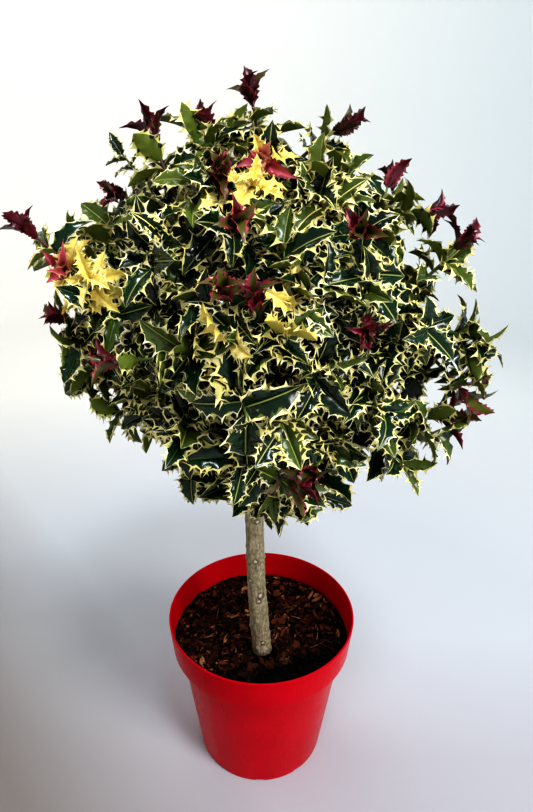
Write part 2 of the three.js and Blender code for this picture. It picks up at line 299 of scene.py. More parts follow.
# Hollows in the crown's outline: azimuth, elevation, spread in degrees, and the share of the reach that
# is left in the middle.
HOLLOWS = [
    (78, 11, 22, 0.5), (100, 10, 21, 0.52), (42, -47, 19, 0.66), (-50, -40, 20, 0.64),
    (-71, -44, 14, 0.72), (60, 82, 18, 0.55), (143, 69, 20, 0.54), (50, 51, 10, 0.72),
    (148, 26, 13, 0.7), (58, 17, 9, 0.78), (124, 1, 12, 0.75), (84, 55, 12, 0.76), (111, 50, 12, 0.76),
    (-80, 39, 11, 0.8), (-102, 34, 12, 0.76), (-84, 12, 11, 0.74), (-104, 14, 11, 0.74),
    (-79, 55, 15, 0.66), (-108, 50, 17, 0.64), (72, -36, 11, 0.8), (-18, -66, 12, 0.75),
    (150, 14, 15, 0.7), (196, -32, 17, 0.68), (222, 28, 16, 0.7), (258, -26, 12, 0.78),
]

# Where the crown is open, with fewer chance sprays: azimuth, elevation, spread in degrees, and the share
# of the sprays that is left in the middle.
OPEN_PLACES = [
    (60, 40, 20, 0.25), (85, 40, 26, 0.15), (115, 36, 26, 0.15), (88, 66, 16, 0.3), (72, -4, 12, 0.5),
    (64, -28, 14, 0.5), (-82, 30, 14, 0.5), (40, -45, 14, 0.5),
]


def left_of(places, heading):
    """The share that a list of places leaves at a heading."""
    share = 1
    for azimuth, elevation, spread, left in places:
        aside = math.degrees(heading.angle(direction(azimuth, elevation))) / spread
        if aside < 1:
            share = min(share, between(left, 1, aside**1.5))
    return share


def drawn_in(heading):
    """The share of the full reach that the crown has at a heading."""
    return left_of(HOLLOWS, heading)


def even_headings(count, lowest, turn_by=0):
    """Directions spread evenly over the crown, down to the lowest elevation."""
    for k in range(count):
        z = 1 - 2 * (k + 0.5) / count
        if z < math.sin(math.radians(lowest)):
            return
        level = math.sqrt(1 - z * z)
        turn = GOLDEN_ANGLE * k + turn_by
        yield k, Vector((level * math.cos(turn), level * math.sin(turn), z))


def main_tips():
    """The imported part's own twig tips: evenly spread ones, then the leading shoots."""
    for k, heading in even_headings(MAIN_TIPS, LOWEST_TIP):
        most = mass_for(heading).reach * drawn_in(heading)
        reach = most * (1 - TIP_DEPTH * roll(k, 2))
        yield heading, reach, most * MAIN_ROOM, k, chance_kind(heading, k)
    for k, (azimuth, elevation, reach, kind) in enumerate(SHOOTS):
        yield direction(azimuth, elevation), reach, reach + SHOOT_ROOM, BY_HAND + k, kind


def limb(carrier, outward, end, along):
    """A limb from a share of its carrier's curve to its end, bowed towards the carrier's own heading."""
    start = carrier.point(along)
    through = start.lerp(end, BOW_AT) + outward * ((end - start).length * BOW)
    return Arch(start, through, end)


def twig_curve(stem, mass, heading, reach):
    """A twig from the stem to its end. Near another mass's space it turns away from it."""
    aim = heading.copy()
    for _ in range(TURNS_BACK):
        if room_at(mass, from_centre(aim, reach)) >= TIP_BORDER:
            break
        aim = aim.lerp(mass.heading, TURN_BACK).normalized()
    along = clamp(0.95 - aim.angle(mass.heading) * 1.1, 0.2, 0.95)
    return limb(stem, mass.heading, from_centre(aim, reach), along)


def fine_curve(parent, heading, reach):
    """A finer twig, which leaves its parent by the same rule as the parent leaves the stem."""
    along = clamp(0.85 - heading.angle(parent.heading) * 1.5, 0.15, 0.85)
    return limb(parent.curve, parent.heading, from_centre(heading, reach), along)


# Sprays with a place of their own: azimuth, elevation, reach and kind. The rest of the crown has the
# same mix by chance.
SPRAYS = [
    (-64, 20, 218, "yellow"), (-53, 20, 213, "yellow"), (-59, 16, 212, "yellow"),
    (-66, 20, 229, "pink"), (-36, 26, 205, "plain"), (-3, 53, 199, "yellow"), (0, 61, 205, "pink"),
    (7, 36, 203, "plain"), (9, 19, 205, "touched"), (7, 13, 212, "touched"), (-9, 11, 211, "touched"),
    (6, -15, 206, "cream"), (-37, 36, 200, "cream"), (-22, 7, 204, "plain"), (-9, 21, 209, "rosy"),
    (-1, 19, 205, "bud"), (20, 25, 203, "plain"), (15, -2, 206, "plain"), (32, 36, 212, "rosy"),
    (-9, 39, 209, "bud"), (-19, 53, 211, "bud"), (-41, 1, 209, "bud"), (-70, 5, 220, "bud"),
    (31, 14, 196, "bud"), (64, -19, 244, "bronze"), (11, -33, 220, "bronze"), (17, -29, 212, "rosy"),
    (-79, 75, 214, "maroon"), (-80, 43, 208, "maroon"), (79, 36, 219, "maroon"),
    (82, 49, 206, "maroon"), (-77, 82, 209, "fresh"), (-78, 70, 223, "fresh"), (-60, 72, 212, "fresh"),
    (-35, 55, 205, "fresh"), (30, 57, 202, "fresh"), (48, 58, 203, "fresh"), (-90, 50, 229, "sprig"),
    (-78, 35, 210, "fresh"), (-97, 24, 240, "plain"), (-71, 3, 221, "plain"), (-69, -2, 220, "plain"),
    (-62, 0, 208, "bold"), (-60, -23, 212, "plain"), (-22, -53, 204, "plain"), (-3, -9, 209, "bold"),
    (-1, -27, 207, "bold"), (-5, -56, 208, "bold"), (-10, -60, 214, "plain"), (6, -59, 214, "bold"),
    (-2, -50, 212, "plain"), (29, -50, 213, "bold"), (58, -23, 245, "plain"), (65, -6, 252, "leading"),
    (75, 21, 222, "fresh"), (85, 69, 204, "fresh"),
]
# The shares of the chance sprays that are coloured. Maroon and yellow ones keep off the front.
CHANCE_MAROON = 0.12
CHANCE_YELLOW = 0.07
CHANCE_CREAM = 0.05
FRONT = -0.15
# How many finer and inner twigs there would be on the whole round, and how low they go.
FINE_TIPS, LOWEST_FINE = 250, -56
INNER_TIPS, LOWEST_INNER = 170, -52
# The share of the crown's reach that the inner twigs have.
INNER_REACH = (0.64, 0.84)
# How far out leaves may stand: as a share of the crown's reach for the main twigs, and for the others
# as millimetres past their own twig's reach.
MAIN_ROOM = 1.03
SHOOT_ROOM, SPRAY_ROOM, FINE_ROOM, YOUNG_ROOM = 2, 3, 8, 4
# How far fine sprays gather towards the twig that carries them, how much their reach falls off away
# from it, and how near they come to a listed spray, in degrees.
CLUMPING = 0.3
ROUNDING = 0.7
KEPT_CLEAR = 5
# Where the seeds of each list of twigs start.
BY_HAND, SPRAYS_FROM, FINE_FROM, INNER_FROM = 500, 700, 1000, 2000


def chance_kind(heading, seed):
    """The kind of a twig where no spray is set by hand: mixed all round, mostly plain in front."""
    draw = roll(seed, 41)
    if left_of(OPEN_PLACES, heading) < 0.8:
        return "airy"
    if heading.y > FRONT and draw < CHANCE_MAROON:
        return "maroon"
    if heading.y > FRONT and draw < CHANCE_MAROON + CHANCE_YELLOW:
        return "touched"
    return "cream" if draw > 1 - CHANCE_CREAM else "plain"


def over_end(kind):
    """How far the leaves of a kind of twig stand out over its end."""
    return TUFTS[TWIG_KINDS[kind][0]][0]


def grow_crown():
    """Every twig of the crown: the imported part's own, then the finer ones that they carry."""
    stems = {mass.name: stem_curve(mass) for mass in MASSES}
    twigs = []
    for heading, reach, limit, seed, kind in main_tips():
        mass = mass_for(heading)
        curve = twig_curve(stems[mass.name], mass, heading, reach - over_end(kind))
        twigs.append(Twig(curve, mass, heading, reach, limit, seed, kind, False))
    carriers = list(twigs)

    def carrier_of(heading):
        return max(carriers, key=lambda twig: twig.heading.dot(heading))

    def carry(parent, heading, reach, limit, seed, kind):
        curve = fine_curve(parent, heading, reach - over_end(kind))
        twigs.append(Twig(curve, parent.mass, heading, reach, limit, seed, kind, True))

    for k, (azimuth, elevation, reach, kind) in enumerate(SPRAYS):
        heading = direction(azimuth, elevation)
        carry(carrier_of(heading), heading, reach, reach + SPRAY_ROOM, SPRAYS_FROM + k, kind)
    set_by_hand = [twig.heading for twig in twigs if twig.seed >= BY_HAND]
    for k, even in even_headings(FINE_TIPS, LOWEST_FINE, 1.7):
        parent = carrier_of(even)
        heading = even.lerp(parent.heading, CLUMPING).normalized()
        if min(heading.angle(other) for other in set_by_hand) < math.radians(KEPT_CLEAR):
            continue
        if roll(k, 24) > min(drawn_in(heading) + 0.1, left_of(OPEN_PLACES, heading)):
            continue
        most = min(parent.reach, mass_for(even).reach) * drawn_in(heading)
        reach = most * (1.01 - ROUNDING * even.angle(parent.heading) - 0.05 * roll(k, 22))
        seed = FINE_FROM + k
        carry(parent, heading, reach, reach + FINE_ROOM, seed, chance_kind(heading, seed))
    for k, heading in even_headings(INNER_TIPS, LOWEST_INNER, 0.4):
        if roll(k, 25) > left_of(OPEN_PLACES, heading):
            continue
        most = mass_for(heading).reach * drawn_in(heading)
        reach = most * between(*INNER_REACH, roll(k, 23))
        carry(carrier_of(heading), heading, reach, most, INNER_FROM + k, "inner")
    return stems, twigs


# ---------------------------------------------------------------- meshes


class Build:
    """A mesh under construction: points, triangles, and each triangle's material slot."""

    def __init__(self):
        self.points = []
        self.faces = []
        self.slots = []
        self.edge_points = []
        self.count = 0

    def add(self, points, faces, slots, edge_points=None):
        points = np.asarray(points, float)
        faces = np.asarray(faces, int)
        self.points.append(points)
        self.faces.append(faces + self.count)
        self.slots.append(np.broadcast_to(np.asarray(slots, int), len(faces)))
        self.edge_points.append(np.zeros(len(points), bool) if edge_points is None else edge_points)
        self.count += len(points)

    def mesh(self, name, scale=MM):
        """The finished mesh. Edges between two edge points stay sharp, and the rest is smooth."""
        points = np.concatenate(self.points) * scale
        faces = np.concatenate(self.faces)
        mesh = bpy.data.meshes.new(name)
        mesh.from_pydata(points.tolist(), [], faces.tolist())
        mesh.polygons.foreach_set("material_index", np.concatenate(self.slots).astype(np.int32))
        mesh.polygons.foreach_set("use_smooth", np.ones(len(faces), bool))
        on_edge = np.concatenate(self.edge_points)
        if on_edge.any():
            ends = np.empty(len(mesh.edges) * 2, np.int32)
            mesh.edges.foreach_get("vertices", ends)
            sharp = on_edge[ends].reshape(-1, 2).all(axis=1)
            mesh.attributes.new("sharp_edge", "BOOLEAN", "EDGE").data.foreach_set("value", sharp)
        mesh.update()
        return mesh


def simple_mesh(name, points, faces, scale=MM):
    """A mesh that has one material."""
    build = Build()
    build.add(points, faces, 0)
    return build.mesh(name, scale)


def ring(radius, height, sides):
    """Points round the upright axis."""
    turns = [2 * math.pi * j / sides for j in range(sides)]
    return [(radius * math.cos(turn), radius * math.sin(turn), height) for turn in turns]


def lathe(outline, sides):
    """Points of an outline of (radius, height) that is turned round the upright axis, ring by ring."""
    return [point for radius, height in outline for point in ring(radius, height, sides)]


def grid_faces(rows, columns):
    """Triangles over a grid of points, row by row, which joins its last column to its first."""
    faces = []
    for i in range(rows - 1):
        for j in range(columns):
            a = i * columns + j
            b = i * columns + (j + 1) % columns
            faces += [(a, b, b + columns), (a, b + columns, a + columns)]
    return faces


def fan(first, sides, centre):
    """Triangles from a ring of points, of which the first is given, to a point in its middle."""
    return [(first + j, first + (j + 1) % sides, centre) for j in range(sides)]


def closed_grid(points, sides, ends):
    """A grid's points and triangles, closed by a point in the middle of its first and last rings."""
    faces = grid_faces(len(points) // sides, sides)
    last = len(points) - sides
    caps = zip(fan(0, sides, len(points)), fan(last, sides, len(points) + 1))
    for (j, k, middle), upper in caps:
        faces += [(k, j, middle), upper]
    return points + ends, faces


def tube(curve, radius_at, sides, steps, start=0):
    """Points and triangles of a closed limb along a curve."""
    side, _ = square_to(curve.tangent(start))
    points = []
    for i in range(steps + 1):
        t = between(start, 1, i / steps)
        along = curve.tangent(t)
        side = (side - along * side.dot(along)).normalized()
        front = along.cross(side)
        centre = curve.point(t)
        for j in range(sides):
            turn = 2 * math.pi * j / sides
            points.append(centre + (side * math.cos(turn) + front * math.sin(turn)) * radius_at(t, turn))
    return closed_grid(points, sides, [curve.point(start), curve.point(1)])


def link(name, data):
    """A new object of the scene."""
    made = bpy.data.objects.new(name, data)
    bpy.context.scene.collection.objects.link(made)
    return made


def add_piece(name, mesh, materials, nodes):
    """Link a piece with its materials. It stands for CAD nodes, which it hides, and hangs from the root
    body.
    """
    for material in materials:
        mesh.materials.append(material)
    piece = link(name, mesh)
    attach(piece, "root")
    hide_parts(*nodes)


# ---------------------------------------------------------------- materials


class Value:
    """A number on its way through a material's nodes. Arithmetic on it adds Math nodes."""

    def __init__(self, finish, socket):
        self.finish = finish
        self.socket = socket

    def math(self, operation, first, second):
        return self.finish.node("ShaderNodeMath", {"operation": operation}, {0: first, 1: second})

    def __add__(self, other):
        return self.math("ADD", self, other)

    def __sub__(self, other):
        return self.math("SUBTRACT", self, other)

    def __rsub__(self, other):
        return self.math("SUBTRACT", other, self)

    def __mul__(self, other):
        return self.math("MULTIPLY", self, other)

    __radd__ = __add__
    __rmul__ = __mul__


class Finish:
    """A material under construction, with one shader at its output."""

    def __init__(self, name):
        self.material = bpy.data.materials.new(name)
        self.material.use_nodes = True
        self.tree = self.material.node_tree
        self.tree.nodes.clear()

    def node(self, kind, settings=None, inputs=None, output=0):
        """Add a node: its settings first, then its sockets' values or links. Returns one output."""
        made = self.tree.nodes.new(kind)
        for name, value in (settings or {}).items():
            setattr(made, name, value)
        for key, value in (inputs or {}).items():
            if isinstance(value, Value):
                self.tree.links.new(value.socket, made.inputs[key])
            elif made.inputs[key].type == "RGBA":
                made.inputs[key].default_value = (*value[:3], 1)
            else:
                made.inputs[key].default_value = value
        return Value(self, made.outputs[output]) if len(made.outputs) else None

    def place(self, stretch=(1, 1, 1)):
        """The surface's place on the object, stretched."""
        place = self.node("ShaderNodeTexCoord", output="Object")
        return self.node("ShaderNodeMapping", None, {"Vector": place, "Scale": stretch})

    def cloud(self, place, scale, detail=4, roughness=0.55):
        """Soft noise from 0 to 1."""
        inputs = {"Vector": place, "Scale": scale, "Detail": detail, "Roughness": roughness}
        return self.node("ShaderNodeTexNoise", None, inputs)

    def cells(self, place, scale):
        """The distance to the nearest of scattered points."""
        inputs = {"Vector": place, "Scale": scale}
        return self.node("ShaderNodeTexVoronoi", None, inputs)

    def stretch(self, value, low, high):
        """A value carried from low..high to 0..1 and held there."""
        inputs = {"Value": value, "From Min": low, "From Max": high}
        return self.node("ShaderNodeMapRange", {"clamp": True}, inputs)

    def mix(self, share, first, second):
        """A mix of two colours."""
        return self.node("ShaderNodeMix", {"data_type": "RGBA"}, {0: share, 6: first, 7: second}, 2)

    def measure(self, operation, first, second=(0, 0, 0)):
        """A number from two directions, such as the distance between them."""
        return self.node("ShaderNodeVectorMath", {"operation": operation}, {0: first, 1: second}, "Value")

    def axis(self, place, name):
        """The X, Y or Z of a place."""
        return self.node("ShaderNodeSeparateXYZ", None, {"Vector": place}, name)

    def bump(self, height, strength, distance):
        inputs = {"Height": height, "Strength": strength, "Distance": distance}
        return self.node("ShaderNodeBump", None, inputs)

    def surface(self, colour, roughness, bump=None, shine=None):
        """Finish with a Principled shader."""
        inputs = {"Base Color": colour, "Roughness": roughness}
        if bump is not None:
            inputs["Normal"] = bump
        if shine is not None:
            inputs["Specular IOR Level"] = shine
        shader = self.node("ShaderNodeBsdfPrincipled", None, inputs)
        self.node("ShaderNodeOutputMaterial", None, {"Surface": shader})
        return self.material


def plain(name, colour, roughness):
    """A material in one colour, for leaves and twigs that are coloured spray by spray."""
    return Finish(name).surface(colour, roughness)


def red_plastic(pot):
    """Moulded plastic: a soft satin gloss, dulled by handling."""
    made = Finish("red_plastic")
    place = made.place()
    broad = made.cloud(place, 9, 3)
    fine = made.cloud(place, 900, 2)
    handled = made.cloud(made.place((1, 1, 0.25)), 60, 5, 0.7)
    streaks = made.stretch(handled, 0.52, 0.78)
    deep = made.mix(made.stretch(broad, 0.3, 0.7), pot.colour, pot.deep_colour)
    worn = made.mix(streaks * 0.04, deep, linear("c81a2c"))
    roughness = 0.22 + 0.07 * broad + 0.1 * streaks
    return made.surface(worn, roughness, made.bump(fine + handled * 0.8, 0.05, 0.0004), 0.05)


def painted_shade_in_front(made, colour):
    """Painted shade: the mulch is darkened to nearly black towards the front right, where the pot's rim
    shades it.
    """
    forward = made.measure("DOT_PRODUCT", made.place(), (0.35, -0.94, 0))
    return made.mix(made.stretch(forward, 0.038, 0.07) * 0.93, colour, linear("050302"))


def wet_soil(mulch):
    """The dark bed between and under the chips."""
    made = Finish("mulch_bed")
    place = made.place()
    crumbs = made.cloud(place, 260, 6, 0.7)
    colour = made.mix(made.stretch(crumbs, 0.35, 0.75), linear("0a0503"), mulch.dark_colour)
    # The bed takes the painted shade towards the front right.
    return made.surface(painted_shade_in_front(made, colour), 0.95, made.bump(crumbs, 0.9, 0.004), 0.1)


def bark_chip(name, dark, light):
    """A flake of bark: layered, with pale broken fibres."""
    made = Finish(name)
    place = made.place((1, 1, 2.2))
    layers = made.cloud(place, 170, 6, 0.68)
    patches = made.cloud(place, 45, 2)
    tone = made.mix(made.stretch(layers, 0.36, 0.68), dark, light)
    colour = made.mix(made.stretch(patches, 0.4, 0.7) * 0.55, tone, dark)
    # The chips take the painted shade towards the front right.
    return made.surface(painted_shade_in_front(made, colour), 0.8, made.bump(layers, 0.8, 0.002), 0.12)


# Pale knots in the trunk's bark: height above the mulch and turn as for BURRS, and radius in millimetres.
KNOTS = [
    (148, 0, 3.4), (96, 22, 4.2), (88, 8, 3), (41, 262, 4.5), (22, 12, 3), (118, 320, 3), (205, 20, 3),
]


def old_bark(bark):
    """Grey-beige bark: fine fibres, mottles, pits and pale knots, green near the foot, and darker at its
    very foot.
    """
    made = Finish("old_bark")
    fibres = made.cloud(made.place((1, 1, 0.07)), 520, 3, 0.6)
    mottle = made.cloud(made.place((1, 1, 0.6)), 260, 5, 0.75)
    pits = made.cells(made.place((1, 1, 1.6)), 250)
    patches = made.cloud(made.place((1, 1, 0.5)), 70, 3)
    height = made.axis(made.place(), "Z")
    low = 1 - made.stretch(height, 0.19, 0.33)
    fibrous = made.mix(0.35 + 0.65 * made.stretch(fibres, 0.3, 0.6), bark.furrow_colour, bark.old_colour)
    lighter = made.stretch(mottle, 0.5, 0.64) * (0.5 + 0.4 * low)
    mottled = made.mix(lighter, fibrous, bark.pale_colour)
    darker = 1 - made.stretch(mottle, 0.34, 0.46)
    shaded = made.mix(darker * 0.8, mottled, bark.furrow_colour)
    green = made.mix(made.stretch(patches, 0.42, 0.66) * (0.15 + 0.4 * low), shaded, bark.moss_colour)
    pit_mask = 1 - made.stretch(pits, 0.05, 0.24)
    pitted = made.mix(pit_mask * 0.7, green, linear("352b1d"))
    knot_mask = ring_mask = 0
    for at, degrees, radius in KNOTS:
        share, turn = at / TRUNK_HEIGHT, math.radians(degrees)
        outward = Vector((math.sin(turn), -math.cos(turn), 0)) * trunk_radius(bark, share)
        knot = (TRUNK_AXIS.point(share) + outward) * MM
        away = made.measure("DISTANCE", made.place(), tuple(knot))
        inner = made.stretch(away, radius * 0.5 * MM, radius * 0.8 * MM)
        knot_mask = knot_mask + (1 - inner)
        ring_mask = ring_mask + inner * (1 - made.stretch(away, radius * 1.1 * MM, radius * 1.6 * MM))
    ringed = made.mix(ring_mask * made.stretch(mottle, 0.62, 0.4) * 0.9, pitted, linear("40331f"))
    knotted = made.mix(knot_mask * made.stretch(mottle, 0.3, 0.5), ringed, linear("e6dcc2"))
    # The bark is darker in the lowest few millimetres above the mulch.
    darker_at_foot = 1 - made.stretch(height + 0.006 * mottle, 0.194, 0.203)
    colour = made.mix(darker_at_foot * 0.7, knotted, linear("2a2015"))
    relief = 0.3 * fibres + mottle - 0.6 * pit_mask - 0.5 * ring_mask + 0.5 * knot_mask
    return made.surface(colour, 0.85, made.bump(relief, 1.0, 0.0018))


def young_bark(bark):
    """The boughs' smoother bark: olive, greying in streaks."""
    made = Finish("young_bark")
    streaks = made.cloud(made.place(), 130, 5, 0.6)
    patches = made.cloud(made.place(), 34, 2)
    colour = made.mix(made.stretch(streaks, 0.36, 0.66), bark.young_colour, bark.old_colour)
    aged = made.mix(made.stretch(patches, 0.45, 0.7) * 0.5, colour, bark.furrow_colour)
    return made.surface(aged, 0.75, made.bump(streaks, 0.5, 0.001))


# ---------------------------------------------------------------- settings


def a_length(name, description, default):
    """A setting in metres."""
    return FloatProperty(name=name, description=description, default=default, unit="LENGTH")


def a_power(name, description, default):
    """A setting in watts."""
    return FloatProperty(name=name, description=description, default=default, unit="POWER")


def a_colour(name, description, code):
    """A setting for a colour, which starts at a hex code."""
    return FloatVectorProperty(
        name=name, description=description, default=linear(code), subtype="COLOR"
    )


class HollyStageSettings(bpy.types.PropertyGroup):
    """Camera, lights and floor."""

    lens: FloatProperty(
        name="Lens", description="Focal length on a 36 mm sensor", default=27.49, unit="CAMERA"
    )
    floor_colour: a_colour("Floor", "Colour of the floor", "c5c8ce")
    # Painted shade: the floor in front of the pot is darker than the floor behind it.
    painted_shade_floor_colour: a_colour("Floor in front", "Colour of the floor in front of the pot", "b7b6bc")
    # Painted shade: the floor on the left, away from the key light, is darker.
    shade_colour: a_colour("Floor on the left", "Colour of the floor away from the window", "857d79")
    wall_colour: a_colour("Wall", "Colour of the wall", "e8e5df")
    # Painted light: the wall turns cooler and darker towards the right.
    painted_cool_tint_colour: a_colour("Wall on the right", "Colour of the wall on the right", "d4dbdf")
    key_power: a_power("Key light", "Power of the soft window light on the right", 42)
    sky_power: a_power("Sky light", "Power of the small cool light high in front", 22)
    wall_power: a_power("Wall light", "Power of the light on the wall behind", 22)
    room_strength: FloatProperty(
        name="Room light", description="Strength of the even light from above", default=0.265
    )


class HollyPotSettings(bpy.types.PropertyGroup):
    """The plastic pot."""

    height: a_length("Height", "From the floor to the rim", POT_BOX[1].z)
    rim_radius: a_length("Rim radius", "Outside radius at the rim", POT_BOX[1].x)
    foot_radius: a_length("Foot radius", "Outside radius at the floor", 0.088)
    collar_height: a_length("Collar height", "Depth of the collar round the top", 0.042)
    wall: a_length("Wall", "Thickness of the plastic", 0.0026)
    colour: a_colour("Colour", "Main colour of the plastic", "cc001e")
    deep_colour: a_colour("Deep colour", "The plastic's slightly deeper patches", "b80019")


class HollyMulchSettings(bpy.types.PropertyGroup):
    """The bark mulch."""

    crumbs: IntProperty(name="Crumbs", description="How many crumbs of bark", default=1200)
    chips: IntProperty(name="Chips", description="How many plates of bark", default=900)
    big_chips: IntProperty(name="Big chips", description="How many flakes lie in the nest", default=22)
    slivers: IntProperty(name="Slivers", description="How many pale splinters", default=90)
    chip_length: a_length("Chip length", "Length of a middling plate", 0.0115)
    dark_colour: a_colour("Dark bark", "Wet inner bark", "1f0d06")
    brown_colour: a_colour("Brown bark", "Most of the plates", "4a2413")
    red_colour: a_colour("Red bark", "Dry outer bark", "7d4526")
    pale_colour: a_colour("Pale wood", "Splinters and broken edges", "b58b5c")


class HollyBarkSettings(bpy.types.PropertyGroup):
    """Trunk and boughs."""

    foot_radius: a_length("Foot radius", "Radius of the trunk at the mulch", 0.0124)
    fork_radius: a_length("Fork radius", "Radius of the trunk at the fork", 0.0092)
    relief: a_length("Relief", "Height of the bark's ridges", 0.0008)
    old_colour: a_colour("Old bark", "Ridges of the trunk's bark", "a5977c")
    furrow_colour: a_colour("Furrows", "Furrows of the bark", "62563f")
    pale_colour: a_colour("Scuffs", "Pale scuffed bark", "d2c8ad")
    moss_colour: a_colour("Green tinge", "Algae on the bark", "7b7d4c")
    young_colour: a_colour("Young bark", "Bark of boughs and twigs", "6d7138")


class HollyLeafSettings(bpy.types.PropertyGroup):
    """The leaves."""

    length: a_length("Length", "Length of a full-grown leaf", 0.048)
    width: a_length("Width", "Width between the spines' roots", 0.0285)
    spine: a_length("Spine", "How far a spine stands out", 0.0032)
    rim: a_length("Cream margin", "Width of the cream margin", 0.0012)
    green: a_colour("Green", "Upper side of a grown leaf", "0f2e17")
    # Deep green is partly the leaves' own darker tone and partly, in the inner leaves' tones, painted
    # shade.
    deep_green: a_colour("Deep green", "The oldest leaves", "051209")
    olive: a_colour("Olive", "Young green growth", "7a8a32")
    under: a_colour("Underside", "Underside of a grown leaf", "5f6c2c")
    margin: a_colour("Margin", "The cream margin", "f7e99c")
    pale_margin: a_colour("Pale margin", "The palest cream", "fdf6d4")
    yellow: a_colour("Yellow", "Leaves of the yellow sprays", "f1d872")
    maroon: a_colour("Maroon", "Young leaves", "3a0916")
    crimson: a_colour("Crimson", "Edges of young leaves", "7a1a30")
    pink: a_colour("Pink", "The newest leaves", "cf5c68")


SETTINGS = {
    "holly_stage": HollyStageSettings,
    "holly_pot": HollyPotSettings,
    "holly_mulch": HollyMulchSettings,
    "holly_bark": HollyBarkSettings,
    "holly_leaf": HollyLeafSettings,
}


# ---------------------------------------------------------------- stage

CAMERA_PLACE = Vector((0.004, -0.657, 0.826))
CAMERA_PITCH = 24.3
CAMERA_ROLL = 0.57
VIEW_LOOK = "High Contrast"
VIEW_EXPOSURE = 0.0
ROOM_COLOUR = (0.95, 0.97, 1.0)


class HOLLY_OT_add_stage(bpy.types.Operator):
    """Add the camera, the lights and a pale floor that curves up into a wall"""

    bl_idname = "holly.add_stage"
    bl_label = "Stage"

    def execute(self, context):
        stage = context.scene.holly_stage
        self.add_camera(context, stage)
        self.add_lights(context, stage)
        self.add_floor(stage)
        return {"FINISHED"}

    def add_camera(self, context, stage):
        data = bpy.data.cameras.new("camera")
        data.sensor_width = 36
        data.sensor_fit = "AUTO"
        data.lens = stage.lens
        camera = link("camera", data)
        pitch = Matrix.Rotation(math.radians(90 - CAMERA_PITCH), 4, "X")
        tilt = Matrix.Rotation(math.radians(CAMERA_ROLL), 4, "Z")
        camera.matrix_world = Matrix.Translation(CAMERA_PLACE) @ pitch @ tilt
        context.scene.camera = camera

    def add_lights(self, context, stage):
        # name, place, what it is aimed at, size, power and colour
        lights = [
            ("key_light", (1.8, -1.6, 1.8), (0, 0, 0.5), 1.0, stage.key_power, (1.0, 0.99, 0.98)),
            ("sky_light", (0.32, -0.92, 2.4), (0, 0, 0.4), 0.4, stage.sky_power, (0.86, 0.94, 1.0)),
            ("wall_light", (-0.5, 1.0, 2.4), (-0.5, 2.6, 0.7), 1.2, stage.wall_power, (0.97, 0.99, 1.0)),
        ]
        for name, place, target, size, power, colour in lights:
            data = bpy.data.lights.new(name, "AREA")
            data.size = size
            data.energy = power
            data.color = colour
            light = link(name, data)
            light.location = place
            aim = Vector(target) - light.location
            light.rotation_euler = aim.to_track_quat("-Z", "Y").to_euler()
        world = bpy.data.worlds.new("room_light")
        world.use_nodes = True
        background = world.node_tree.nodes["Background"]
        background.inputs["Color"].default_value = (*ROOM_COLOUR, 1)
        background.inputs["Strength"].default_value = stage.room_strength
        context.scene.world = world
        context.scene.view_settings.view_transform = "Standard"
        context.scene.view_settings.look = VIEW_LOOK
        context.scene.view_settings.exposure = VIEW_EXPOSURE

    def add_floor(self, stage):
        """A round floor that bends up into a wall. Its colour by place paints shade in front of the pot and
        on the left, and a cool tint of light on the right of the wall.
        """
        flat, bend, height, sides, steps = 2.2, 0.9, 2.6, 96, 14
        profile = [(0.02, 0), (flat, 0)]
        for i in range(1, steps + 1):
            turn = math.pi / 2 * i / steps
            profile.append((flat + bend * math.sin(turn), bend * (1 - math.cos(turn))))
        profile.append((flat + bend, height))
        points = lathe(profile, sides)
        faces = [face[::-1] for face in grid_faces(len(profile), sides)]
        faces += fan(0, sides, len(points))
        mesh = simple_mesh("floor", points + [(0, 0, 0)], faces, scale=1)
        made = Finish("pale_floor")
        place = made.place()
        away = made.measure("LENGTH", place)
        # Painted shade: the corner and shade masks darken the floor on the left, away from the key light.
        corner = made.measure("DOT_PRODUCT", place, (-1, -0.8, 0))
        back = made.axis(place, "Y")
        # Painted shade: the floor in front of the pot is darker than the floor behind it.
        floor_colour = made.mix(made.stretch(back, -0.05, 0.18), stage.painted_shade_floor_colour, stage.floor_colour)
        shade = made.stretch(corner, 0.08, 0.42)
        painted_shade_floor_colour = made.mix(shade, floor_colour, stage.shade_colour)
        across = made.axis(place, "X")
        # Painted light: the wall turns cooler and darker towards the right.
        wall_colour = made.mix(made.stretch(across, -0.5, 1.5), stage.wall_colour, stage.painted_cool_tint_colour)
        colour = made.mix(made.stretch(away, 0.6, 1.5), painted_shade_floor_colour, wall_colour)
        mesh.materials.append(made.surface(colour, 0.8))
        link("floor", mesh)


# ---------------------------------------------------------------- pot

ARC_STEPS = 6
NOTCHES = 10
NOTCH_SIZE = (0.014, 0.011, 0.0064)


def rounded(profile):
    """A profile of (radius, height, rounding), with each corner turned into an arc of that rounding."""
    points = []
    for i, (x, z, rounding) in enumerate(profile):
        if rounding == 0 or i in (0, len(profile) - 1):
            points.append((x, z))
            continue
        corner = Vector((x, z))
        before = (Vector(profile[i - 1][:2]) - corner).normalized()
        after = (Vector(profile[i + 1][:2]) - corner).normalized()
        reach = rounding / math.tan(before.angle(after) / 2)
        start, end = corner + before * reach, corner + after * reach
        arc = Arch(start, corner, end)
        points += [tuple(arc.point(k / ARC_STEPS)) for k in range(ARC_STEPS + 1)]
    return points


